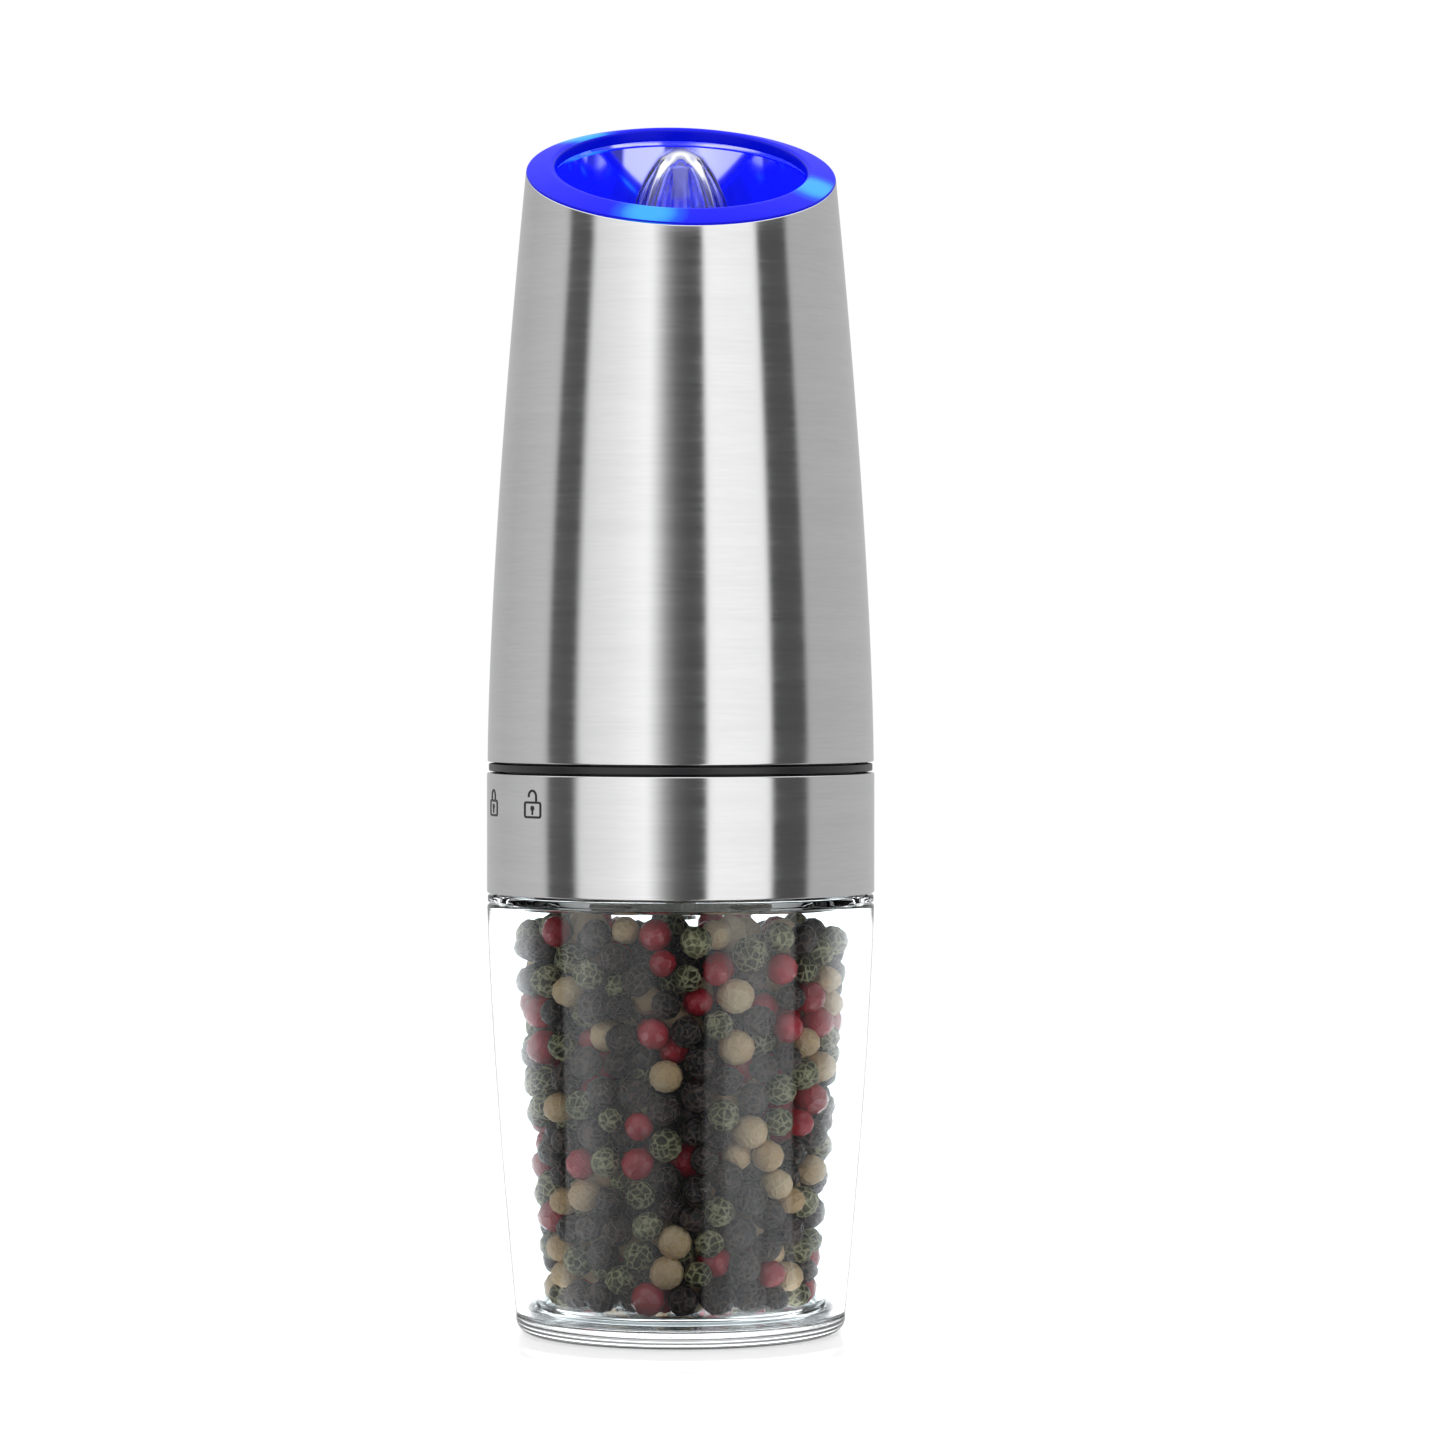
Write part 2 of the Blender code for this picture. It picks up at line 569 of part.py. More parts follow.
def make_collar(head):
    spigot_top = COLLAR_TOP + SPIGOT_HEIGHT
    spigot_inside = SPIGOT_RADIUS - SPIGOT_WALL
    lip_inside = BURR_TUBE_INSIDE - BURR_LIP
    outline = [
        (SPIGOT_RADIUS, spigot_top), (SPIGOT_RADIUS, COLLAR_TOP), (COLLAR_RADIUS, COLLAR_TOP),
        (COLLAR_RADIUS, COLLAR_FOOT), (SKIRT_INSIDE, COLLAR_FOOT), (SKIRT_INSIDE, DECK_FOOT),
        (BURR_TUBE_RADIUS, DECK_FOOT), (BURR_TUBE_RADIUS, OUTER_BURR_FOOT),
        (BURR_TUBE_INSIDE, OUTER_BURR_FOOT), (BURR_TUBE_INSIDE, DECK_FOOT),
        (lip_inside, DECK_FOOT), (lip_inside, DECK_TOP),
        (spigot_inside, DECK_TOP + DECK_RISE), (spigot_inside, spigot_top),
    ]
    collar = turned("collar_body", outline, "black_abs", head)
    hub = turned("hub", ring(BUSH_RADIUS + GAP, HOUSING_RADIUS, HUB_FOOT, HUB_TOP))
    combine(collar, "UNION", hub)
    inner, outer = HOUSING_RADIUS - 2.0, SPIGOT_RADIUS - 0.5
    for i, angle in enumerate(SPOKE_ANGLES):
        size = (outer - inner, SPOKE_WIDTH, SPOKE_THICKNESS)
        middle = ((inner + outer) / 2, 0.0, HUB_TOP - SPOKE_THICKNESS / 2)
        combine(collar, "UNION", block(f"spoke_{i}", size, middle, turn=angle))
    for i in range(THREAD_STARTS):
        low = THREAD_FOOT - RIB_HEIGHT / 2
        rise = THREAD_LEAD * LUG_ARC / 360.0
        radii = (NECK_RADIUS + GAP, SKIRT_INSIDE + 0.5)
        start = i * 360.0 / THREAD_STARTS + 3.0
        lug = arc_bar(f"thread_lug_{i}", radii, (low, low + RIB_HEIGHT), start, LUG_ARC, rise)
        combine(collar, "UNION", lug)
    # Each slot lets a lug in from above at the unlocked place and runs clockwise to the locked one.
    side = 1.5
    radii = (spigot_inside - 1.0, SPIGOT_RADIUS + 1.0)
    floor = COLLAR_TOP + BAYONET_LIFT - GAP
    roof = COLLAR_TOP + BAYONET_LIFT + BAYONET_HEIGHT + GAP
    for i, angle in enumerate(LUG_ANGLES):
        start = angle - BAYONET_ARC / 2 - side
        entry = arc_bar(f"entry_{i}", radii, (floor, spigot_top + 1.0), start, BAYONET_ARC + 2 * side)
        leg = arc_bar(f"leg_{i}", radii, (floor, roof), start - LOCK_TURN, LOCK_TURN + side)
        combine(collar, "DIFFERENCE", entry, leg)
    for i, angle in enumerate(SPOKE_ANGLES):
        hole = turned(f"screw_hole_{i}", disc(SCREW_RADIUS + GAP, HUB_FOOT - 1.0, HUB_TOP + 1.0),
                      sides=FEW_SIDES, at=polar(SCREW_CIRCLE, angle))
        combine(collar, "DIFFERENCE", hole)

    turned("collar_sleeve", ring(JAR_RADIUS - SLEEVE_WALL, JAR_RADIUS, SEAL_FOOT, COLLAR_TOP),
           "brushed_steel", head)
    bush = [(BUSH_RADIUS, HUB_TOP), (BUSH_RADIUS, HUB_FOOT - GAP), (BUSH_FLANGE_RADIUS, HUB_FOOT - GAP),
            (BUSH_FLANGE_RADIUS, BUSH_FOOT), (SHAFT_RADIUS + GAP, BUSH_FOOT), (SHAFT_RADIUS + GAP, HUB_TOP)]
    turned("shaft_bush", bush, "sintered_bronze", head, sides=24)
    for i, angle in enumerate(SPOKE_ANGLES[:2]):
        turned(f"light_pin_{i + 1}", disc(LIGHT_PIN_RADIUS, HUB_TOP + GAP, FOOT_TOP - FOOT_SPOKE - GAP),
               "sintered_bronze", head, FEW_SIDES, polar(LIGHT_PIN_CIRCLE, angle))


# The burrs and the fineness knob

def wave(piece, count, depth, radii, twist=0.0):
    """Draws in every point between two radii by a wave that runs round the axis."""
    for vertex in piece.data.vertices:
        x, y, z = vertex.co
        radius = math.hypot(x, y)
        if not radii[0] * MM <= radius <= radii[1] * MM:
            continue
        phase = count * (math.atan2(y, x) + twist * z / MM)
        factor = 1.0 - depth * MM * (1.0 - math.cos(phase)) / 2 / radius
        vertex.co.x *= factor
        vertex.co.y *= factor


def make_burrs(head, burr, knob):
    top_inside = INNER_BURR_TOP_RADIUS + GRIND_GAP
    foot_inside = top_inside - 1.8
    outer = [(OUTER_BURR_RADIUS, OUTER_BURR_TOP), (OUTER_BURR_RADIUS, OUTER_BURR_FOOT),
             (foot_inside, OUTER_BURR_FOOT), (top_inside, INNER_BURR_TOP - 2.0), (top_inside, OUTER_BURR_TOP)]
    turned("outer_burr", outer, "white_ceramic", head)

    upstand = RETAINER_TOP + 4.0
    retainer = [(RETAINER_RADIUS, upstand), (RETAINER_RADIUS, RETAINER_TOP - RETAINER_THICKNESS),
                (RETAINER_INSIDE, RETAINER_TOP - RETAINER_THICKNESS), (RETAINER_INSIDE, RETAINER_TOP),
                (BURR_TUBE_RADIUS + GAP, RETAINER_TOP), (BURR_TUBE_RADIUS + GAP, upstand)]
    turned("burr_retainer", retainer, "white_acetal", head)

    seat = SPRING_RADIUS + 2 * SPRING_WIRE + 0.6
    bore = SHAFT_RADIUS + GAP
    straight = INNER_BURR_TOP - 1.5
    slope = heights_between(INNER_BURR_FOOT, straight, 3)
    cone = [(INNER_BURR_TOP_RADIUS, INNER_BURR_TOP)]
    cone += [(INNER_BURR_FOOT_RADIUS + (INNER_BURR_TOP_RADIUS - INNER_BURR_FOOT_RADIUS) * i / 3, slope[i])
             for i in (3, 2, 1, 0)]
    cone += [(bore, INNER_BURR_FOOT), (bore, SPRING_SEAT), (seat, SPRING_SEAT), (seat, INNER_BURR_TOP)]
    inner = as_mesh(turned("inner_burr", cone, "white_ceramic", burr, sides=3 * BURR_TEETH))
    wave(inner, BURR_TEETH, BURR_TOOTH, (seat + GAP, INNER_BURR_TOP_RADIUS + GAP), math.radians(4.0))

    knob_foot = KNOB_TOP - KNOB_HEIGHT
    outline = [(KNOB_RADIUS - 2.0, KNOB_TOP), (KNOB_RADIUS, KNOB_TOP - 1.2), (KNOB_RADIUS, knob_foot + 0.8),
               (KNOB_RADIUS - 0.8, knob_foot), (bore, knob_foot), (bore, KNOB_TOP)]
    grip = as_mesh(turned("adjust_knob", outline, "white_acetal", knob, sides=3 * KNOB_FLUTES))
    wave(grip, KNOB_FLUTES, 0.9, (KNOB_RADIUS - 1.0, KNOB_RADIUS + GAP))


# The drive: shaft, gears and motor

def make_shaft(drive):
    spigot = CARRIER_2_FOOT + CARRIER_THICKNESS - GAP
    shaft = [(0.0, spigot), (SHAFT_END_RADIUS, spigot), (SHAFT_END_RADIUS, CARRIER_2_FOOT - GAP),
             (SHAFT_RADIUS, CARRIER_2_FOOT - GAP), (SHAFT_RADIUS, SHAFT_FOOT), (0.0, SHAFT_FOOT)]
    turned("drive_shaft", shaft, "plated_steel", drive, sides=24)
    foot = SPRING_SEAT + GAP + SPRING_WIRE
    points = coil((SPRING_RADIUS, SPRING_RADIUS), (foot, BUSH_FOOT - GAP - SPRING_WIRE), SPRING_TURNS)
    wire("burr_spring", points, SPRING_WIRE, "spring_steel", drive, resolution=0)


def make_carrier(name, foot, bore, parent):
    """A carrier plate with its three planet pins."""
    top = foot + CARRIER_THICKNESS
    outline = ring(bore, CARRIER_RADIUS, foot, top) if bore else disc(CARRIER_RADIUS, foot, top)
    plate = turned(name, outline, "plated_steel", parent, sides=24)
    for i in range(PLANETS):
        pin = turned(f"{name}_pin_{i}", disc(PIN_RADIUS, foot + 0.5, top + GAP + PLANET_FACE + 0.2),
                     sides=FEW_SIDES, at=polar(PLANET_CIRCLE, 360.0 * i / PLANETS))
        combine(plate, "UNION", pin)
    return plate


def make_planets(stage, foot, carrier):
    outline = gear_outline(PLANET_TEETH)
    hole = circle(PIN_RADIUS + 0.15, FEW_SIDES)
    for i in range(PLANETS):
        pivot = group(f"stage_{stage}_pivot_{i + 1}", carrier)
        angle = 360.0 * i / PLANETS
        pivot.location = [value * MM for value in (*polar(PLANET_CIRCLE, angle), 0.0)]
        bpy.context.view_layer.update()
        # A gap between two teeth faces the sun when a planet is turned by half a tooth.
        flat(f"stage_{stage}_planet_{i + 1}", [outline, hole], foot, foot + PLANET_FACE, "white_acetal",
             pivot, turn=180.0 / PLANET_TEETH)


def make_gears(head, drive, first):
    flat("gear_housing", [circle(HOUSING_RADIUS, SIDES), gear_outline(RING_TEETH, internal=True)],
         HOUSING_FOOT, HOUSING_TOP, "grey_abs", head)
    make_carrier("output_carrier", CARRIER_2_FOOT, SHAFT_END_RADIUS + GAP, drive)
    make_planets(2, STAGE_2_FOOT, drive)
    carrier = make_carrier("first_carrier", CARRIER_1_FOOT, 0.0, first)
    sun = flat("second_sun", [gear_outline(SUN_TEETH)], STAGE_2_FOOT, CARRIER_1_FOOT + 0.5)
    combine(carrier, "UNION", sun)
    make_planets(1, STAGE_1_FOOT, first)


def make_motor(head, rotor):
    inside = MOTOR_RADIUS - MOTOR_WALL
    nose = 1.4
    can = [(MOTOR_RADIUS, MOTOR_TOP), (MOTOR_RADIUS, MOTOR_FOOT), (nose, MOTOR_FOOT),
           (nose, MOTOR_FOOT + MOTOR_WALL), (inside, MOTOR_FOOT + MOTOR_WALL), (inside, MOTOR_TOP)]
    turned("motor_can", can, "plated_steel", head, sides=32)
    cap_foot = MOTOR_TOP + GAP
    cap_top = cap_foot + MOTOR_CAP
    pocket = ROTOR_SHAFT + GAP
    cap = [(0.0, cap_top), (MOTOR_RADIUS, cap_top), (MOTOR_RADIUS, cap_foot), (pocket, cap_foot),
           (pocket, cap_top - 1.0), (0.0, cap_top - 1.0)]
    turned("motor_end_cap", cap, "black_abs", head, sides=32)

    core_foot = MOTOR_FOOT + MOTOR_WALL + 4.0
    core_top = MOTOR_TOP - 5.0
    brush = MOTOR_TOP - 2.0
    shaft_top = cap_top - 1.0 - GAP
    shaft_foot = STAGE_1_FOOT + PLANET_FACE - 0.5
    outline = [(0.0, shaft_top), (ROTOR_SHAFT, shaft_top), (ROTOR_SHAFT, brush), (COMMUTATOR_RADIUS, brush),
               (COMMUTATOR_RADIUS, core_top), (ROTOR_RADIUS, core_top), (ROTOR_RADIUS, core_foot),
               (ROTOR_SHAFT, core_foot), (ROTOR_SHAFT, shaft_foot), (0.0, shaft_foot)]
    armature = turned("motor_rotor", outline, "copper_winding", rotor, sides=24)
    pinion = flat("pinion", [gear_outline(SUN_TEETH)], STAGE_1_FOOT, STAGE_1_FOOT + PLANET_FACE)
    combine(armature, "UNION", pinion)
    for i, side in enumerate((-1.0, 1.0)):
        foot, top = cap_top + GAP, BOARD_FOOT - GAP
        points = [(side * (4.0 + 2.5 * math.sin(math.pi * share)), 0.0, foot + (top - foot) * share)
                  for share in (0.0, 0.2, 0.4, 0.6, 0.8, 1.0)]
        wire(f"motor_lead_{i + 1}", points, 0.6, "lead_sleeve", head, resolution=2)


# The cells, their cage and the contacts

def make_cage(head):
    edge = CAGE_FLOOR - CAGE_FLOOR_EDGE
    outline = [(CAGE_RADIUS, CAGE_TOP), (CAGE_RADIUS, CAGE_ROOF_FOOT), (CAGE_TUBE_RADIUS, CAGE_ROOF_FOOT),
               (CAGE_TUBE_RADIUS, CAGE_FLOOR), (CAGE_RADIUS, CAGE_FLOOR), (CAGE_RADIUS, edge),
               (CAGE_TUBE_RADIUS + 0.3, CAGE_FOOT), (CAGE_BORE, CAGE_FOOT), (CAGE_BORE, CAGE_TOP)]
    cage = turned("cell_cage", outline, "grey_abs", head)
    inner, outer = CAGE_TUBE_RADIUS - 0.4, CAGE_RADIUS - 1.5
    foot, top = LOW_CONTACT + 1.0, CAGE_ROOF_FOOT + 0.8
    for i, angle in enumerate(FIN_ANGLES):
        size = (outer - inner, CAGE_FIN, top - foot)
        middle = ((inner + outer) / 2, 0.0, (foot + top) / 2)
        combine(cage, "UNION", block(f"fin_{i}", size, middle, turn=angle))
    head_foot = CAGE_FLOOR + GAP
    for i, angle in enumerate(SPOKE_ANGLES):
        at = polar(SCREW_CIRCLE, angle)
        hole = turned(f"cage_hole_{i}", disc(SCREW_RADIUS + GAP, CAGE_FOOT - 1.0, CAGE_FLOOR + 1.0),
                      sides=FEW_SIDES, at=at)
        combine(cage, "DIFFERENCE", hole)
        screw = [(0.0, head_foot + SCREW_HEAD), (SCREW_HEAD_RADIUS, head_foot + SCREW_HEAD),
                 (SCREW_HEAD_RADIUS, head_foot), (SCREW_RADIUS, head_foot), (SCREW_RADIUS, HUB_FOOT + 0.5),
                 (0.0, HUB_FOOT + 0.5)]
        turned(f"cage_screw_{i + 1}", screw, "plated_steel", head, FEW_SIDES, at)


def make_cells(head):
    can = CELL_LENGTH - CELL_NUB
    for i in range(CELLS):
        at = polar(CELL_CIRCLE, 360.0 * i / CELLS)
        low = LOW_CONTACT + COIL_HEIGHT + GAP
        heights = (low, low + can, low + CELL_LENGTH)
        if i % 2:
            high = HIGH_CONTACT - COIL_HEIGHT - GAP
            heights = (high, high - can, high - CELL_LENGTH)
        end, shoulder, nub = heights
        outline = [(0.0, nub), (CELL_NUB_RADIUS, nub), (CELL_NUB_RADIUS, shoulder), (CELL_RADIUS, shoulder),
                   (CELL_RADIUS, end), (0.0, end)]
        turned(f"cell_{i + 1}", outline, "cell_jacket", head, CELL_SIDES, at)


def make_contact(name, cells, low, head):
    """A contact plate under or over one or two cells: a coil for the flat end, a button for the nub."""
    face = LOW_CONTACT if low else HIGH_CONTACT
    away = 1.0 if low else -1.0
    angles = [360.0 * cell / CELLS for cell in cells]
    middle_angle = sum(angles) / len(angles)
    chord = 2 * CELL_CIRCLE * math.sin(math.radians((angles[-1] - angles[0]) / 2))
    radius = CELL_CIRCLE * math.cos(math.radians((angles[-1] - angles[0]) / 2))
    size = (CONTACT_WIDTH, chord + CONTACT_WIDTH, CONTACT_THICKNESS)
    middle = (radius, 0.0, face - away * CONTACT_THICKNESS / 2)
    plate = block(name, size, middle, "plated_steel", head, middle_angle)
    for cell, angle in zip(cells, angles):
        at = polar(CELL_CIRCLE, angle)
        root = face - away * CONTACT_THICKNESS / 2
        if low == (cell % 2 == 0):
            far = face + away * (COIL_HEIGHT - 0.35)
            tool = wire(f"{name}_coil_{cell}", coil((2.4, 1.6), (face, far), COIL_TURNS, 8), 0.35,
                        at=at, resolution=0)
        else:
            tool = turned(f"{name}_button_{cell}", disc(1.6, *sorted((root, face + away * BUTTON_HEIGHT))),
                          sides=FEW_SIDES, at=at)
        combine(plate, "UNION", tool)


def make_board(head, ball):
    turned("circuit_board", disc(BOARD_RADIUS, BOARD_FOOT, BOARD_TOP), "green_laminate", head)
    bore = TILT_RADIUS - TILT_WALL
    top = TILT_FOOT + TILT_HEIGHT
    vent = 0.5
    can = [(TILT_RADIUS, top), (TILT_RADIUS, TILT_FOOT), (0.0, TILT_FOOT), (0.0, TILT_FOOT + TILT_WALL),
           (bore, TILT_FOOT + TILT_WALL), (bore, top - TILT_WALL), (vent, top - TILT_WALL), (vent, top)]
    lathe = can[3:] + can[:3]
    turned("tilt_switch_can", lathe, "plated_steel", head, 20, TILT_PLACE)
    bm = bmesh.new()
    bmesh.ops.create_uvsphere(bm, u_segments=12, v_segments=8, radius=TILT_BALL_RADIUS * MM)
    mesh = bpy.data.meshes.new("tilt_ball")
    bm.to_mesh(mesh)
    bm.free()
    rest = TILT_FOOT + TILT_WALL + GAP + TILT_BALL_RADIUS
    place("tilt_ball", mesh, "plated_steel", ball, (*TILT_PLACE, rest))


# The casing and everything that lifts off with it

def lean_wall(piece):
    """Raises a turned wall to the slanted rim, and keeps it as far in from the casing's outside as it was."""
    for vertex in piece.data.vertices:
        x, y, z = (value / MM for value in vertex.co)
        if z <= LEAN_FROM:
            continue
        angle = math.atan2(y, x)
        inset = casing_radius(z) - math.hypot(x, y)
        rim = rim_plane(casing_radius(rim_height(angle)) - inset, angle)
        height = LEAN_FROM + (z - LEAN_FROM) * (rim - LEAN_FROM) / (RIM_HEIGHT - LEAN_FROM)
        radius = casing_radius(height) - inset
        vertex.co = Vector((radius * math.cos(angle), radius * math.sin(angle), height)) * MM


def lean_rim(piece):
    """Lays a level ring on the slanted rim: its height on the axis becomes its height over the rim."""
    for vertex in piece.data.vertices:
        x, y, z = (value / MM for value in vertex.co)
        angle = math.atan2(y, x)
        inset = casing_radius(RIM_HEIGHT) - math.hypot(x, y)
        radius = casing_radius(rim_height(angle)) - inset
        height = rim_plane(radius, angle) + z
        vertex.co = Vector((radius * math.cos(angle), radius * math.sin(angle), height)) * MM


def make_casing(lift, casing):
    turned("separator_ring", ring(SPIGOT_RADIUS + GAP, SEPARATOR_RADIUS, SEPARATOR_FOOT,
                                  SEPARATOR_FOOT + SEPARATOR_THICKNESS), "black_abs", lift)
    levels = heights_between(CASING_FOOT, LEAN_FROM, 3) + heights_between(LEAN_FROM, RIM_HEIGHT, 2)[1:]
    outside = [(casing_radius(z), z) for z in reversed(levels)]
    inside = [(casing_radius(z) - CASING_WALL, z) for z in levels]
    lean_wall(as_mesh(turned("steel_casing", outside + inside, "brushed_steel", casing)))

    foot_outside = casing_radius(FOOT_TOP) - CASING_WALL - GAP
    foot_inside = SPIGOT_RADIUS + GAP
    foot = turned("casing_foot", ring(foot_inside, foot_outside, CASING_FOOT, FOOT_TOP), "black_abs", casing)
    spoke_foot = FOOT_TOP - FOOT_SPOKE
    seat = turned("hood_seat", ring(HOOD_INSIDE, HOOD_RADIUS + 0.4, spoke_foot, FOOT_TOP))
    combine(foot, "UNION", seat)
    inner, outer = HOOD_INSIDE + 0.6, foot_inside + 0.5
    for i, angle in enumerate(SPOKE_ANGLES):
        size = (outer - inner, FOOT_SPOKE_WIDTH, FOOT_SPOKE)
        middle = ((inner + outer) / 2, 0.0, FOOT_TOP - FOOT_SPOKE / 2)
        combine(foot, "UNION", block(f"foot_spoke_{i}", size, middle, turn=angle + LOCK_TURN))
    lug_foot = COLLAR_TOP + BAYONET_LIFT
    for i, angle in enumerate(LUG_ANGLES):
        lug = arc_bar(f"bayonet_lug_{i}", (SPIGOT_RADIUS - 1.3, foot_inside + 0.5),
                      (lug_foot, lug_foot + BAYONET_HEIGHT), angle - BAYONET_ARC / 2, BAYONET_ARC)
        combine(foot, "UNION", lug)

    slope_inside = HOOD_TOP_RADIUS - 0.7 * HOOD_WALL
    hood = [(0.0, HOOD_TOP), (HOOD_TOP_RADIUS, HOOD_TOP), (HOOD_RADIUS, HOOD_SHOULDER),
            (HOOD_RADIUS, HOOD_FOOT), (HOOD_INSIDE, HOOD_FOOT), (HOOD_INSIDE, HOOD_SHOULDER - 0.4),
            (slope_inside, HOOD_TOP - HOOD_WALL), (0.0, HOOD_TOP - HOOD_WALL)]
    turned("hood", hood, "black_abs", casing)
    make_dome(casing)


def make_dome(casing):
    steps = 5
    angles = [math.pi / 2 * i / steps for i in range(steps + 1)]
    inner_radius, inner_height = DOME_RADIUS - DOME_WALL, DOME_HEIGHT - DOME_WALL
    outside = [(DOME_RADIUS * math.sin(a), DOME_FOOT + DOME_HEIGHT * math.cos(a)) for a in angles]
    inside = [(inner_radius * math.sin(a), DOME_FOOT + inner_height * math.cos(a)) for a in reversed(angles)]
    outside[0] = (0.0, DOME_FOOT + DOME_HEIGHT)
    inside[-1] = (0.0, DOME_FOOT + inner_height)
    dome = as_mesh(turned("dome", outside + inside, "clear_acrylic", casing, sides=4 * DOME_FLUTES))
    for vertex in dome.data.vertices:
        share = math.hypot(vertex.co.x, vertex.co.y) / (DOME_RADIUS * MM)
        wave_depth = FLUTE_DEPTH / DOME_RADIUS * min(share * 1.5, 1.0)
        factor = 1.0 - wave_depth * (1.0 - math.cos(DOME_FLUTES * math.atan2(vertex.co.y, vertex.co.x))) / 2
        vertex.co.x *= factor
        vertex.co.y *= factor


def make_light(casing):
    outside = casing_radius(RIM_HEIGHT)
    inside = outside - RING_WIDTH
    crest = outside - 0.4 * RING_WIDTH
    outline = [(outside, GAP), (outside - 0.1, 0.8), (outside - 0.8, 1.3), (crest, RING_CREST),
               (inside + 0.6, RING_CREST + 0.3), (inside, RING_LIP), (inside + 0.2, -0.6),
               (outside - 1.2, -0.6), (outside - 1.2, GAP)]
    lean_rim(as_mesh(turned("light_ring", outline, "blue_light_guide", casing)))

    liner_inside = inside + 0.1
    liner_outside = liner_inside + REFLECTOR_WALL
    inset = outside - liner_outside
    heights = heights_between(REFLECTOR_FOOT, RIM_HEIGHT - REFLECTOR_DROP, 3)
    liner = [(casing_radius(z) - inset, z) for z in reversed(heights)]
    liner += [(casing_radius(z) - inset - REFLECTOR_WALL, z) for z in heights]
    lean_wall(as_mesh(turned("light_reflector", liner, "chromed_plastic", casing)))

    board_outside = outside - CASING_WALL - GAP
    board = ring(liner_outside + 2.5 * GAP, board_outside, -LED_BOARD_DROP, -LED_BOARD_DROP + LED_BOARD_THICKNESS)
    leds = as_mesh(turned("led_board", board, "white_laminate", casing))
    lean_rim(leds)
    for i, angle in enumerate(LED_ANGLES):
        turn = math.radians(angle)
        radius = casing_radius(rim_height(turn)) - CASING_WALL - GAP - 1.1
        board_foot = rim_plane(radius, turn) - LED_BOARD_DROP
        foot = board_foot + 0.4
        top = board_foot + LED_BOARD_THICKNESS + LED_HEIGHT
        size = (1.6, 2.6, top - foot)
        combine(leds, "UNION", block(f"led_{i}", size, (radius, 0.0, (foot + top) / 2), turn=angle))

    inset = CASING_WALL + GAP
    back = rim_height(math.radians(FLEX_ANGLE)) - LED_BOARD_DROP - 2.0
    levels = heights_between(FOOT_TOP + GAP, back, 5)
    mesh = bpy.data.meshes.new("led_flex")
    points = [((casing_radius(z) - inset) * MM, 0.0, z * MM) for z in levels]
    mesh.from_pydata(points, [(i, i + 1) for i in range(len(points) - 1)], [])
    flex = place("led_flex", mesh, "amber_film", casing, turn=FLEX_ANGLE - FLEX_WIDTH / 2)
    screw = flex.modifiers.new("width", "SCREW")
    screw.axis = "Z"
    screw.angle = math.radians(FLEX_WIDTH)
    screw.steps = screw.render_steps = 2
    solid = flex.modifiers.new("thickness", "SOLIDIFY")
    solid.thickness = FLEX_THICKNESS * MM
    solid.offset = 1.0


def main():
    jar = group("jar")
    seal = group("seal", jar)
    head = group("head", seal)
    drive = group("drive", head)
    burr = group("burr", drive)
    knob = group("knob", burr)
    first = group("first_stage", head)
    rotor = group("rotor", head)
    ball = group("ball", head)
    lift = group("lift", head)
    casing = group("casing", lift)
    make_jar(jar)
    make_seal(seal)
    make_collar(head)
    make_burrs(head, burr, knob)
    make_shaft(drive)
    make_gears(head, drive, first)
    make_motor(head, rotor)
    make_cage(head)
    make_cells(head)
    for i, cells in enumerate(((0, 1), (2, 3), (4, 5))):
        make_contact(f"low_contact_{i + 1}", cells, True, head)
    for i, cells in enumerate(((0,), (1, 2), (3, 4), (5,))):
        make_contact(f"high_contact_{i + 1}", cells, False, head)
    make_board(head, ball)
    make_casing(lift, casing)
    make_light(casing)


main()
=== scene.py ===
# Battery pepper mill that grinds when it is tipped over: the looks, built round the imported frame.
# Lengths in the settings are millimetres and angles are degrees; +Z is up and -Y is the front.
import json
import math

import bmesh
import bpy
import numpy as np
from mathutils import Matrix, Vector


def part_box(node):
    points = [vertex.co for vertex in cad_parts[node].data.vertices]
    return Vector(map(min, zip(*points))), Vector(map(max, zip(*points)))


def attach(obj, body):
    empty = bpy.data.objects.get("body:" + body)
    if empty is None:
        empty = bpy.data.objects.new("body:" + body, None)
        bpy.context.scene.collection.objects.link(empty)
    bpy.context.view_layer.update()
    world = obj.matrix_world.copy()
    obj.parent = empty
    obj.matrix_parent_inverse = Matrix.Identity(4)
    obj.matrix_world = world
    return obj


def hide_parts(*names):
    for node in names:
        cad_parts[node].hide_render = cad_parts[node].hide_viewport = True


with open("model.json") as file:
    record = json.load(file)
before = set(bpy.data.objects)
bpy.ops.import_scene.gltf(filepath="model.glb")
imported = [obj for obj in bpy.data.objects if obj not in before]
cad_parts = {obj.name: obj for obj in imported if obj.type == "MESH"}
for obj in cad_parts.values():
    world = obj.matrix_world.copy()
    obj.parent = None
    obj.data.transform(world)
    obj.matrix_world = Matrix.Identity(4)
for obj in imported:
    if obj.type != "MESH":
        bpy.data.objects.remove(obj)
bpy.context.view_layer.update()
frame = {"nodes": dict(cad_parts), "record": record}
scene = bpy.context.scene
mm = 0.001


# ---- small tools

def hexColour(code):
    parts = [int(code[i:i + 2], 16) / 255 for i in (1, 3, 5)]
    linear = [part / 12.92 if part <= 0.04045 else ((part + 0.055) / 1.055) ** 2.4 for part in parts]
    return (*linear, 1.0)


def addNode(tree, kind, inputs=None, **settings):
    node = tree.nodes.new(kind)
    for key, value in settings.items():
        setattr(node, key, value)
    for key, value in (inputs or {}).items():
        if isinstance(value, bpy.types.NodeSocket):
            tree.links.new(value, node.inputs[key])
        else:
            node.inputs[key].default_value = value
    return node


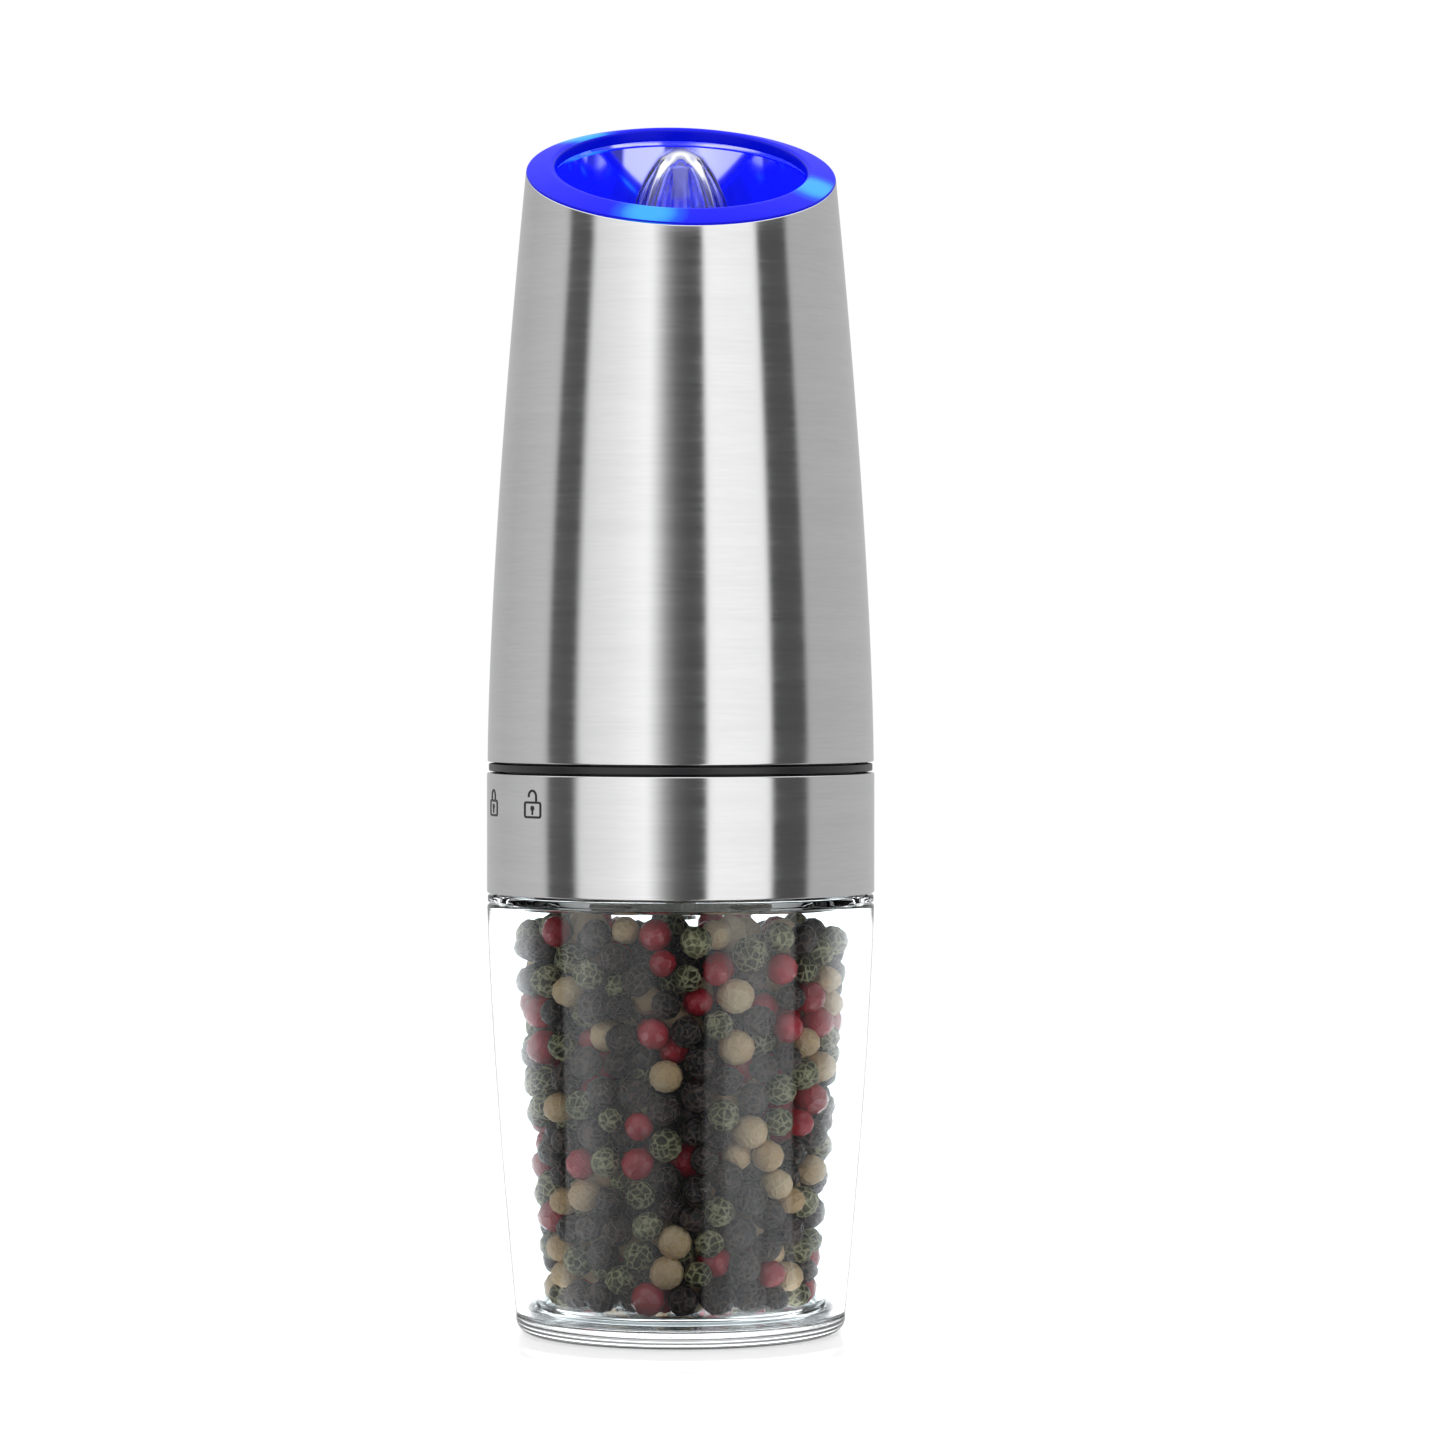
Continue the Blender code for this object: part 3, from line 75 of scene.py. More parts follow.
def newMaterial(name, **values):
    material = bpy.data.materials.new(name)
    material.use_nodes = True
    shader = material.node_tree.nodes["Principled BSDF"]
    for key, value in values.items():
        shader.inputs[key.replace("_", " ")].default_value = value
    return material, material.node_tree, shader


def objectPoints(tree, scale):
    # scale is in cycles per metre along x, y and z
    coords = addNode(tree, "ShaderNodeTexCoord")
    mapping = addNode(tree, "ShaderNodeMapping", {"Vector": coords.outputs["Object"], "Scale": scale})
    return mapping.outputs["Vector"]


def rampBetween(tree, factor, stops):
    ramp = addNode(tree, "ShaderNodeValToRGB", {"Fac": factor})
    elements = ramp.color_ramp.elements
    while len(elements) < len(stops):
        elements.new(0.5)
    for element, (position, colour) in zip(elements, stops):
        element.position = position
        element.color = colour
    return ramp.outputs["Color"]


def addBump(tree, shader, height, distance, strength=1.0):
    bump = addNode(tree, "ShaderNodeBump", {"Height": height, "Distance": distance * mm, "Strength": strength})
    tree.links.new(bump.outputs["Normal"], shader.inputs["Normal"])
    return bump


def roundOutline(points, segments=4):
    # each point is (radius, height) or (radius, height, rounding); a rounded corner becomes a short curve
    made = []
    for i, point in enumerate(points):
        corner = Vector(point[:2])
        if len(point) < 3:
            made.append(corner)
            continue
        before = Vector(points[i - 1][:2]) - corner
        after = Vector(points[(i + 1) % len(points)][:2]) - corner
        reach = min(point[2], 0.45 * before.length, 0.45 * after.length)
        first, last = corner + before.normalized() * reach, corner + after.normalized() * reach
        for step in range(segments + 1):
            t = step / segments
            made.append(first * (1 - t) ** 2 + corner * 2 * t * (1 - t) + last * t * t)
    return [(point[0], point[1]) for point in made]


def turnProfile(points, steps=144):
    # spins an outline about the main axis; one that starts and ends on the axis is left open there
    bm = bmesh.new()
    verts = [bm.verts.new((radius * mm, 0.0, height * mm)) for radius, height in points]
    edges = [bm.edges.new(pair) for pair in zip(verts, verts[1:])]
    if points[0][0] > 0:
        edges.append(bm.edges.new((verts[-1], verts[0])))
    bmesh.ops.spin(bm, geom=verts + edges, cent=(0, 0, 0), axis=(0, 0, 1), angle=math.tau,
                   steps=steps, use_merge=True, use_duplicate=False)
    bmesh.ops.remove_doubles(bm, verts=bm.verts, dist=1e-7)
    bmesh.ops.recalc_face_normals(bm, faces=bm.faces)
    return bm


def addPiece(name, bm, materials, body, replaced=(), sharp=35.0):
    mesh = bpy.data.meshes.new(name)
    bm.to_mesh(mesh)
    bm.free()
    for material in materials:
        mesh.materials.append(material)
    mesh.shade_smooth()
    mesh.set_sharp_from_angle(angle=math.radians(sharp))
    piece = bpy.data.objects.new(name, mesh)
    scene.collection.objects.link(piece)
    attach(piece, body)
    if replaced:
        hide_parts(*replaced)
    return piece


def levels(low, high, count):
    return [low + (high - low) * i / count for i in range(count + 1)]


# the box of each CAD node that a visual piece is fitted to, in millimetres
fitted = {name: [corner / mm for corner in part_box(name)] for name in (
    "jar_shell", "jar_cup", "collar_sleeve", "separator_ring", "steel_casing", "dome")}


def footOf(node):
    return fitted[node][0].z


def topOf(node):
    return fitted[node][1].z


# ---- camera and studio

camera = {"distance": 900.0, "height": 112.0, "focalLength": 137.8, "aim": (6.8, 0.0, 99.1)}

studio = {
    "backdrop": "#ffffff",
    "overhead": 1.5,
    # azimuth from the front, positive to the right, and how bright the studio is there
    "walls": ((-180, 0.56), (-130, 0.58), (-92, 0.70), (-88, 0.66), (-84, 0.13), (-67, 0.10), (-62, 0.98),
              (-40, 1.14), (-20, 1.38), (-15, 0.95), (-9, 0.42), (-3, 0.17), (4, 0.10), (14, 0.09), (17, 1.32),
              (54, 1.24), (57, 0.10), (79, 0.10), (83, 0.58), (130, 0.60), (180, 0.56)),
    # the floor as the jar's walls mirror it: dark in front, two white cards, white behind
    "cards": ((-180, 1.0), (-108, 0.9), (-98, 0.0), (-77, 0.0), (-75, 1.0), (-62, 1.0), (-42, 0.0), (25, 0.0),
              (28, 0.55), (50, 0.8), (72, 1.0), (74, 0.0), (98, 0.0), (108, 0.9), (180, 1.0)),
    "cardStrength": 2.6,
    "brightest": 2.0,  # what a full ramp value of the walls stands for
    "floorRadius": 1600.0,
    "floorShade": "#404040",  # what lit pieces see of the floor
    "floorGlow": 0.45,
}


def makeCamera():
    data = bpy.data.cameras.new("camera")
    data.lens = camera["focalLength"]
    data.sensor_width = 36.0
    data.clip_start = 0.01
    eye = bpy.data.objects.new("camera", data)
    scene.collection.objects.link(eye)
    eye.location = (0.0, -camera["distance"] * mm, camera["height"] * mm)
    target = Vector(camera["aim"]) * mm
    eye.rotation_euler = (target - eye.location).to_track_quat("-Z", "Y").to_euler()
    scene.camera = eye


def byAzimuth(tree, place, stops, brightest=1.0):
    # grey levels by the direction from the middle, given as (azimuth from the front, level)
    axes = addNode(tree, "ShaderNodeSeparateXYZ", {"Vector": place})
    front = addNode(tree, "ShaderNodeMath", {0: axes.outputs["Y"], 1: -1.0}, operation="MULTIPLY")
    azimuth = addNode(tree, "ShaderNodeMath", {0: axes.outputs["X"], 1: front.outputs[0]},
                      operation="ARCTAN2")
    share = addNode(tree, "ShaderNodeMapRange", {"Value": azimuth.outputs[0], "From Min": -math.pi,
                                                 "From Max": math.pi})
    levelsRound = [((angle + 180) / 360, (value / brightest,) * 3 + (1.0,)) for angle, value in stops]
    return rampBetween(tree, share.outputs[0], levelsRound), axes


def makeStudio():
    world = bpy.data.worlds.new("studio")
    scene.world = world
    world.use_nodes = True
    tree = world.node_tree
    tree.nodes.clear()
    coords = addNode(tree, "ShaderNodeTexCoord")
    brightest = studio["brightest"]
    walls, axes = byAzimuth(tree, coords.outputs["Generated"], studio["walls"], brightest)
    height = addNode(tree, "ShaderNodeMapRange", {"Value": axes.outputs["Z"], "From Min": 0.45, "From Max": 0.75})
    overhead = (studio["overhead"] / brightest,) * 3 + (1.0,)
    sides = addNode(tree, "ShaderNodeMix", {"Factor": height.outputs[0], "A": walls, "B": overhead},
                    data_type="RGBA")
    lit = addNode(tree, "ShaderNodeBackground", {"Color": sides.outputs["Result"], "Strength": brightest})
    plain = addNode(tree, "ShaderNodeBackground", {"Color": hexColour(studio["backdrop"]), "Strength": 1.0})
    path = addNode(tree, "ShaderNodeLightPath")
    seen = addNode(tree, "ShaderNodeMixShader", {0: path.outputs["Is Camera Ray"], 1: lit.outputs[0],
                                                 2: plain.outputs[0]})
    addNode(tree, "ShaderNodeOutputWorld", {"Surface": seen.outputs[0]})

    bm = bmesh.new()
    bmesh.ops.create_circle(bm, cap_ends=True, segments=96, radius=studio["floorRadius"] * mm)
    mesh = bpy.data.meshes.new("studioFloor")
    bm.to_mesh(mesh)
    bm.free()
    # white glossy acrylic sheet: mirrors the jar's foot softly
    material, tree, shader = newMaterial("whiteAcrylicSheet", Roughness=0.06)
    coords = addNode(tree, "ShaderNodeTexCoord")
    cards, _ = byAzimuth(tree, coords.outputs["Object"], studio["cards"])
    path = addNode(tree, "ShaderNodeLightPath")
    seen = path.outputs["Is Camera Ray"]
    base = addNode(tree, "ShaderNodeMix", {"Factor": seen, "A": hexColour(studio["floorShade"]),
                                            "B": hexColour(studio["backdrop"])}, data_type="RGBA")
    tree.links.new(base.outputs["Result"], shader.inputs["Base Color"])
    glow = (studio["floorGlow"] / studio["cardStrength"],) * 3 + (1.0,)
    shown = addNode(tree, "ShaderNodeMix", {"Factor": seen, "A": cards, "B": glow}, data_type="RGBA")
    tree.links.new(shown.outputs["Result"], shader.inputs["Emission Color"])
    shader.inputs["Emission Strength"].default_value = studio["cardStrength"]
    mesh.materials.append(material)
    floor = bpy.data.objects.new("studioFloor", mesh)
    floor.visible_glossy = False  # the steel mirrors only the studio walls
    scene.collection.objects.link(floor)
    scene.view_settings.view_transform = "Standard"


# ---- materials

def brushedSteel(name="brushedStainlessSteel"):
    # 304 stainless steel, brushed round the axis: fine level lines, and reflections that smear up and down
    material, tree, shader = newMaterial(name, Metallic=1.0, Anisotropic=0.75, Anisotropic_Rotation=0.25)
    tangent = addNode(tree, "ShaderNodeTangent", direction_type="RADIAL", axis="Z")
    tree.links.new(tangent.outputs[0], shader.inputs["Tangent"])
    fine = addNode(tree, "ShaderNodeTexNoise", {"Vector": objectPoints(tree, (160.0, 160.0, 2600.0)), "Scale": 1.0,
                                                "Detail": 3.0, "Roughness": 0.6})
    broad = addNode(tree, "ShaderNodeTexNoise", {"Vector": objectPoints(tree, (25.0, 25.0, 420.0)), "Scale": 1.0,
                                                 "Detail": 2.0})
    both = addNode(tree, "ShaderNodeMath", {0: fine.outputs["Fac"], 1: broad.outputs["Fac"]}, operation="ADD")
    lines = addNode(tree, "ShaderNodeMapRange", {"Value": both.outputs[0], "From Min": 0.75, "From Max": 1.25})
    colour = rampBetween(tree, lines.outputs[0], [(0.0, hexColour("#d2d2d3")), (1.0, hexColour("#d8d8d9"))])
    tree.links.new(colour, shader.inputs["Base Color"])
    gloss = addNode(tree, "ShaderNodeMapRange", {"Value": lines.outputs[0], "To Min": 0.14, "To Max": 0.19})
    tree.links.new(gloss.outputs[0], shader.inputs["Roughness"])
    addBump(tree, shader, lines.outputs[0], 0.0015, 0.4)
    return material, tree, shader


def steelWithPaintedBlueGlow():
    # the casing's inner wall: the same steel, with a painted blue glow that stands in for the LEDs' light, fading
    # downwards
    material, tree, shader = brushedSteel("brushedSteelWithPaintedBlueGlow")
    coords = addNode(tree, "ShaderNodeTexCoord")
    normal = rimNormal()
    below = addNode(tree, "ShaderNodeVectorMath", {0: coords.outputs["Object"], 1: tuple(normal)},
                    operation="DOT_PRODUCT")
    rimLevel = normal.z * rim["height"] * mm
    paintedGlowFade = addNode(tree, "ShaderNodeMapRange", {"Value": below.outputs["Value"], "From Min": rimLevel - 60 * mm,
                                                "From Max": rimLevel, "To Min": 0.0, "To Max": 1.0})
    # painted light: a blue glow emitted by the steel, strongest at the rim and gone 60 mm below it
    glow = rampBetween(tree, paintedGlowFade.outputs[0], [(0.0, hexColour("#000000")), (1.0, hexColour("#1c2ad8"))])
    tree.links.new(glow, shader.inputs["Emission Color"])
    shader.inputs["Emission Strength"].default_value = 0.8
    return material


def chromeWithPaintedBlueGlow():
    # chromed ABS: mirror-bright bands that turn lavender and deep blue; the lavender tint of the chrome and a blue
    # glow, brighter towards the top, are painted light that stands in for the LEDs' blue light
    material, tree, shader = newMaterial("chromedAbsWithPaintedBlueGlow", Metallic=1.0, Base_Color=hexColour("#b4b8ff"),
                                         Roughness=0.07)
    coords = addNode(tree, "ShaderNodeTexCoord")
    level = addNode(tree, "ShaderNodeSeparateXYZ", {"Vector": coords.outputs["Object"]})
    paintedGlowFade = addNode(tree, "ShaderNodeMapRange", {"Value": level.outputs["Z"], "From Min": 160.0 * mm,
                                                "From Max": 200.0 * mm})
    # painted light: a blue glow emitted by the chrome, brighter towards the top
    glow = rampBetween(tree, paintedGlowFade.outputs[0], [(0.0, hexColour("#0810a0")), (1.0, hexColour("#1018c0"))])
    tree.links.new(glow, shader.inputs["Emission Color"])
    shader.inputs["Emission Strength"].default_value = 0.6
    return material


def lightGuideEdge():
    # edges of the same light guide, where less light leaves it
    material, _, _ = newMaterial("frostedBlueLightGuideEdge", Base_Color=hexColour("#000480"), Roughness=0.3,
                                 Specular_IOR_Level=0.1, IOR=1.49, Emission_Color=hexColour("#0008b8"),
                                 Emission_Strength=0.9)
    return material


def acrylic(name, index=1.49, tint="#f7fafb", roughness=0.02, edge="#7e8589"):
    # clear moulded acrylic (PMMA), polished: index 1.49, less where walls stand one behind another and veil what they
    # hold; the long way through a wall seen edge on makes it greyer there
    material, tree, shader = newMaterial(name, Roughness=roughness, IOR=index, Transmission_Weight=1.0)
    facing = addNode(tree, "ShaderNodeLayerWeight", {"Blend": 0.5})
    turned = addNode(tree, "ShaderNodeMapRange", {"Value": facing.outputs["Facing"], "From Min": 0.72,
                                                  "From Max": 0.98})
    tone = rampBetween(tree, turned.outputs[0], [(0.0, hexColour(tint)), (1.0, hexColour(edge))])
    tree.links.new(tone, shader.inputs["Base Color"])
    ripple = addNode(tree, "ShaderNodeTexNoise", {"Vector": objectPoints(tree, (60.0, 60.0, 60.0)), "Scale": 1.0,
                                                  "Detail": 1.0})
    addBump(tree, shader, ripple.outputs["Fac"], 0.02, 0.25)
    return material


def lightGuide():
    # frosted blue acrylic light guide: deep blue, with a cyan glow over each LED
    material, tree, shader = newMaterial("frostedBlueLightGuide", Base_Color=hexColour("#0004b4"), Roughness=0.35,
                                         IOR=1.49, Specular_IOR_Level=0.06)
    coords = addNode(tree, "ShaderNodeTexCoord")
    glow = None
    for angle in lightRing["ledAngles"]:
        turn = math.radians(angle)
        radius = rimRadius(turn) - lightRing["ledInset"]
        place = Vector((radius * math.cos(turn), radius * math.sin(turn), rimPlane(radius, turn) + 1.2)) * mm
        away = addNode(tree, "ShaderNodeVectorMath", {0: coords.outputs["Object"], 1: tuple(place)},
                       operation="DISTANCE")
        near = addNode(tree, "ShaderNodeMapRange", {"Value": away.outputs["Value"], "From Min": 1.0 * mm,
                                                    "From Max": 10.5 * mm, "To Min": 1.0, "To Max": 0.0},
                       interpolation_type="SMOOTHERSTEP")
        if glow is None:
            glow = near.outputs[0]
        else:
            glow = addNode(tree, "ShaderNodeMath", {0: glow, 1: near.outputs[0]}, operation="MAXIMUM").outputs[0]
    colour = rampBetween(tree, glow, [(0.0, hexColour("#0000e4")), (0.35, hexColour("#0010f4")),
                                      (0.7, hexColour("#0c64ff")), (1.0, hexColour("#40c0ff"))])
    tree.links.new(colour, shader.inputs["Emission Color"])
    shader.inputs["Emission Strength"].default_value = 0.85
    return material


def mouldedPlastic(name, colour, roughness, grain=0.35):
    # moulded plastic with a fine spark-eroded grain, drawn at the given size in mm
    material, tree, shader = newMaterial(name, Roughness=roughness)
    rate = 1000.0 / grain
    noise = addNode(tree, "ShaderNodeTexNoise", {"Vector": objectPoints(tree, (rate,) * 3), "Scale": 1.0,
                                                 "Detail": 2.0})
    base = Vector(hexColour(colour)[:3])
    tone = rampBetween(tree, noise.outputs["Fac"], [(0.3, (*(base * 0.86), 1.0)), (0.7, (*(base * 1.12), 1.0))])
    tree.links.new(tone, shader.inputs["Base Color"])
    addBump(tree, shader, noise.outputs["Fac"], 0.02, 0.4)
    return material


def metalFinish(name, colour, roughness, grain=0.5):
    # plated or sintered metal: gloss and tone vary a little, with a grain of the given size in mm
    material, tree, shader = newMaterial(name, Metallic=1.0)
    rate = 1000.0 / grain
    noise = addNode(tree, "ShaderNodeTexNoise", {"Vector": objectPoints(tree, (rate,) * 3), "Scale": 1.0,
                                                 "Detail": 3.0})
    base = Vector(hexColour(colour)[:3])
    tone = rampBetween(tree, noise.outputs["Fac"], [(0.3, (*(base * 0.85), 1.0)), (0.7, (*base, 1.0))])
    tree.links.new(tone, shader.inputs["Base Color"])
    gloss = addNode(tree, "ShaderNodeMapRange", {"Value": noise.outputs["Fac"], "To Min": roughness * 0.8,
                                                 "To Max": roughness * 1.3})
    tree.links.new(gloss.outputs[0], shader.inputs["Roughness"])
    return material


# ---- the slanted rim, as the casing and the light ring share it

rim = {"height": 188.2, "tilt": 21.4, "highSide": 94.0, "leanFrom": 150.0}
casing = {"radius": 31.4, "taper": 6.25, "curve": 1.5, "wall": 0.8, "paintedGlowFrom": 120.0, "separatorInside": 28.9}


def casingRadius(height):
    foot = footOf("steel_casing")
    share = max((height - foot) / (rim["height"] - foot), 0.0)
    return casing["radius"] - casing["taper"] * share ** casing["curve"]


def rimPlane(radius, turn):
    slope = math.tan(math.radians(rim["tilt"]))
    return rim["height"] + slope * radius * math.cos(turn - math.radians(rim["highSide"]))


def rimRadius(turn):
    height = rim["height"]
    for _ in range(12):
        height = rimPlane(casingRadius(height), turn)
    return casingRadius(height)


def rimNormal():
    tilt, side = math.radians(rim["tilt"]), math.radians(rim["highSide"])
    return Vector((-math.sin(tilt) * math.cos(side), -math.sin(tilt) * math.sin(side), math.cos(tilt)))


def leanWall(bm):
    # raises the top of a turned wall to the slanted rim, keeping its distance from the outer surface
    for vert in bm.verts:
        x, y, z = vert.co / mm
        if z <= rim["leanFrom"]:
            continue
        turn = math.atan2(y, x)
        inset = casingRadius(z) - math.hypot(x, y)
        top = rimPlane(rimRadius(turn) - inset, turn)
        height = rim["leanFrom"] + (z - rim["leanFrom"]) * (top - rim["leanFrom"]) / (rim["height"] - rim["leanFrom"])
        radius = casingRadius(height) - inset
        vert.co = Vector((radius * math.cos(turn), radius * math.sin(turn), height)) * mm


def leanRing(bm):
    # lays a level ring on the rim: its height becomes its height over the rim's plane
    for vert in bm.verts:
        x, y, z = vert.co / mm
        turn = math.atan2(y, x)
        radius = rimRadius(turn) - (casingRadius(rim["height"]) - math.hypot(x, y))
        vert.co = Vector((radius * math.cos(turn), radius * math.sin(turn), rimPlane(radius, turn) + z)) * mm


# ---- casing, separator and light ring

def makeCasing():
    foot = footOf("steel_casing")
    heights = levels(foot, rim["leanFrom"], 14) + levels(rim["leanFrom"], rim["height"], 8)[1:]
    outside = [(casingRadius(z), z) for z in reversed(heights)]
    inside = [(casingRadius(z) - casing["wall"], z) for z in heights]
    for line in (outside, inside):
        line[0] = (*line[0], 0.25)
        line[-1] = (*line[-1], 0.25)
    bm = turnProfile(roundOutline(outside + inside, 3), 192)
    for face in bm.faces:
        middle = face.calc_center_median() / mm
        inner = math.hypot(middle.x, middle.y) < casingRadius(middle.z) - 0.6 * casing["wall"]
        # inner faces above this height get the steel with the painted blue glow
        face.material_index = int(inner and middle.z > casing["paintedGlowFrom"])
    leanWall(bm)
    steel, _, _ = brushedSteel()
    addPiece("steelCasing", bm, [steel, steelWithPaintedBlueGlow()], "casing", ["steel_casing"])

    low, high = fitted["separator_ring"]
    inside = casing["separatorInside"]
    outline = [(high.x, high.z, 0.25), (high.x, low.z, 0.25), (inside, low.z), (inside, high.z)]
    addPiece("separatorRing", turnProfile(roundOutline(outline)), [mouldedPlastic("blackAbs", "#17171a", 0.35)],
             "lift", ["separator_ring"])


reflector = {"foot": 161.0, "inset": 4.6, "wall": 0.6, "drop": 1.2}


def makeReflector():
    # chromed ABS liner inside the light ring
    material = chromeWithPaintedBlueGlow()
    heights = levels(reflector["foot"], rim["height"] - reflector["drop"], 12)
    outside = [(casingRadius(z) - reflector["inset"] + reflector["wall"], z) for z in reversed(heights)]
    inside = [(casingRadius(z) - reflector["inset"], z) for z in heights]
    bm = turnProfile(outside + inside, 192)
    leanWall(bm)
    addPiece("lightReflector", bm, [material], "casing", ["light_reflector"])


lightRing = {"width": 4.7, "crest": 1.5, "outerLip": 0.35, "edge": 0.22, "ledAngles": (137.0, 258.0, 339.0),
             "ledInset": 2.2}


def makeLightRing():
    outside = casingRadius(rim["height"])
    inside = outside - lightRing["width"]
    # the top slopes down outwards
    outline = [(outside, 0.1, 0.1), (outside - 0.15, lightRing["outerLip"], 0.25),
               (outside - 2.2, lightRing["crest"] - 0.5, 1.2), (inside + 0.8, lightRing["crest"], 0.4),
               (inside, lightRing["crest"] - 0.35, 0.3), (inside + 0.2, -0.6, 0.2), (outside - 1.2, -0.6, 0.1),
               (outside - 1.2, 0.1)]
    bm = turnProfile(roundOutline(outline, 4), 192)
    for face in bm.faces:
        middle = face.calc_center_median() / mm
        away = math.hypot(middle.x, middle.y)
        face.material_index = int(away > outside - lightRing["edge"] or away < inside + lightRing["edge"])
    leanRing(bm)
    addPiece("lightRing", bm, [lightGuide(), lightGuideEdge()], "casing", ["light_ring"],
             sharp=60.0)


dome = {"radius": 9.5, "wall": 1.0, "flutes": 8, "fluteDepth": 0.95}


def makeDome():
    foot, top = footOf("dome"), topOf("dome")
    height = top - foot
    steps = 28
    angles = [math.pi / 2 * i / steps for i in range(steps + 1)]
    outside = [(dome["radius"] * math.sin(a), foot + height * math.cos(a)) for a in angles]
    inner = dome["radius"] - dome["wall"]
    inside = [(inner * math.sin(a), foot + (height - dome["wall"]) * math.cos(a)) for a in reversed(angles)]
    outside[0], inside[-1] = (0.0, top), (0.0, top - dome["wall"])
    bm = turnProfile(outside + inside, 160)
    for vert in bm.verts:
        radius = math.hypot(vert.co.x, vert.co.y) / mm
        if radius < 0.01:
            continue
        start = min(max((radius - 3.0) / 2.5, 0.0), 1.0)
        start = start * start * (3 - 2 * start)
        groove = (0.5 - 0.5 * math.cos(dome["flutes"] * math.atan2(vert.co.y, vert.co.x))) ** 1.6
        factor = 1.0 - dome["fluteDepth"] * start * groove / radius
        vert.co.x *= factor
        vert.co.y *= factor
    clear = acrylic("clearLavenderAcrylic", tint="#eef0ff", roughness=0.03)
    addPiece("flutedDome", bm, [clear], "casing", ["dome"], sharp=80.0)


# ---- collar sleeve with its lock and unlock icons

sleeve = {"wall": 0.9, "iconAngles": {"locked": -73.0, "unlocked": -48.5}, "stroke": 0.36, "bodyWidth": 4.2,
          "bodyHeight": 2.7, "iconHeight": 85.5, "thickness": 0.05}


def makeSleeve():
    low, high = fitted["collar_sleeve"]
    radius = high.x
    outline = [(radius, high.z, 0.3), (radius, low.z, 0.3), (radius - sleeve["wall"], low.z),
               (radius - sleeve["wall"], high.z)]
    bm = turnProfile(roundOutline(outline), 192)
    addPiece("collarSleeve", bm, [bpy.data.materials["brushedStainlessSteel"]], "head",
             ["collar_sleeve"])
    ink, _, _ = newMaterial("blackPadPrint", Base_Color=hexColour("#141414"), Roughness=0.45)
    for state, angle in sleeve["iconAngles"].items():
        addPiece(f"{state}Icon", padlock(state == "unlocked", radius, angle), [ink], "head")


def strokeLoop(bm, points, stroke, closed=True):
    # a flat band of the given width, laid inside a line of points in x and z
    count = len(points)
    middle = sum((Vector(point) for point in points), Vector((0.0, 0.0))) / count
    verts = []
    for i, point in enumerate(points):
        before = Vector(points[i - 1]) if closed or i else Vector(point)
        after = Vector(points[(i + 1) % count]) if closed or i < count - 1 else Vector(point)
        along = (after - before).normalized()
        inward = Vector((-along.y, along.x))
        if inward.dot(middle - Vector(point)) < 0:
            inward = -inward
        inner = Vector(point) + inward * stroke
        verts.append((bm.verts.new((*point, 0.0)), bm.verts.new((*inner, 0.0))))
    for i in range(count if closed else count - 1):
        (a, b), (c, d) = verts[i], verts[(i + 1) % count]
        bm.faces.new((a, c, d, b))


def padlock(unlocked, radius, angle):
    # drawn flat, then wrapped on the sleeve
    stroke, width, height = sleeve["stroke"], sleeve["bodyWidth"], sleeve["bodyHeight"]
    bm = bmesh.new()
    body = []
    for x, y, start in ((1, 1, 0), (-1, 1, 90), (-1, -1, 180), (1, -1, 270)):
        for step in range(5):
            turn = math.radians(start + 22.5 * step)
            body.append((x * (width / 2 - 0.5) + 0.5 * math.cos(turn), y * (height / 2 - 0.5) + 0.5 * math.sin(turn)))
        if start in (0, 180):
            body += [(x * (width / 2 - 0.5) * (1 - 2 * k / 3.0), y * height / 2) for k in (1, 2)]
    strokeLoop(bm, body, stroke)
    reach = 0.26 * width
    rise = height / 2 + (0.8 if unlocked else 0.6)
    shackle = [(reach, height / 2 - 0.1), (reach, rise)]
    shackle += [(reach * math.cos(a), rise + reach * math.sin(a)) for a in levels(0.0, math.pi, 12)[1:]]
    shackle.append((-reach, rise - 0.15 if unlocked else height / 2 - 0.1))
    strokeLoop(bm, shackle, stroke, closed=False)
    bmesh.ops.create_circle(bm, cap_ends=True, segments=16, radius=0.42, matrix=Matrix.Translation((0, 0.25, 0)))
    bar = Matrix.Translation((0, -0.4, 0)) @ Matrix.Diagonal((0.3, 0.8, 1.0, 1.0))
    bmesh.ops.create_grid(bm, x_segments=1, y_segments=1, size=0.5, matrix=bar)
    raised = bmesh.ops.extrude_face_region(bm, geom=bm.faces[:], use_keep_orig=True)["geom"]
    bmesh.ops.translate(bm, verts=[part for part in raised if isinstance(part, bmesh.types.BMVert)],
                        vec=(0, 0, sleeve["thickness"]))
    bmesh.ops.recalc_face_normals(bm, faces=bm.faces)
    for vert in bm.verts:
        across, up, out = vert.co
        turn = math.radians(angle - 90.0) + across / radius
        away = radius + 0.02 + out
        vert.co = Vector((away * math.cos(turn), away * math.sin(turn), sleeve["iconHeight"] + up)) * mm
    return bm


# ---- jar

jar = {"radius": 31.5, "taper": 4.7, "curve": 1.4, "wall": 1.5, "cupWall": 1.2, "airTop": 0.8, "airFoot": 2.0,
       "flange": 1.2, "flangeRise": 1.5, "neck": 26.6, "neckWall": 1.6, "baseThickness": 2.8, "baseRounding": 2.4,
       "spigotTop": 4.6, "spigotWall": 1.2, "spigotGap": 0.3, "wallIndex": 1.36, "cupIndex": 1.1}


def jarShare(height):
    top, foot = topOf("jar_shell") + jar["flangeRise"], jar["baseThickness"]
    return max((top - height) / (top - foot), 0.0)


def jarRadius(height):
    return jar["radius"] - jar["taper"] * jarShare(height) ** jar["curve"]


def cupRadius(height):
    air = jar["airTop"] + (jar["airFoot"] - jar["airTop"]) * jarShare(height)
    return jarRadius(height) - jar["wall"] - air


# three short ribs on the neck that the collar twists onto
threadRibs = {"starts": (2, 122, 242), "turn": 56, "rise": 2.8, "foot": 74.8, "thick": 1.4, "inner": 26.1,
              "outer": 28.0, "draft": 0.2, "steps": 16}


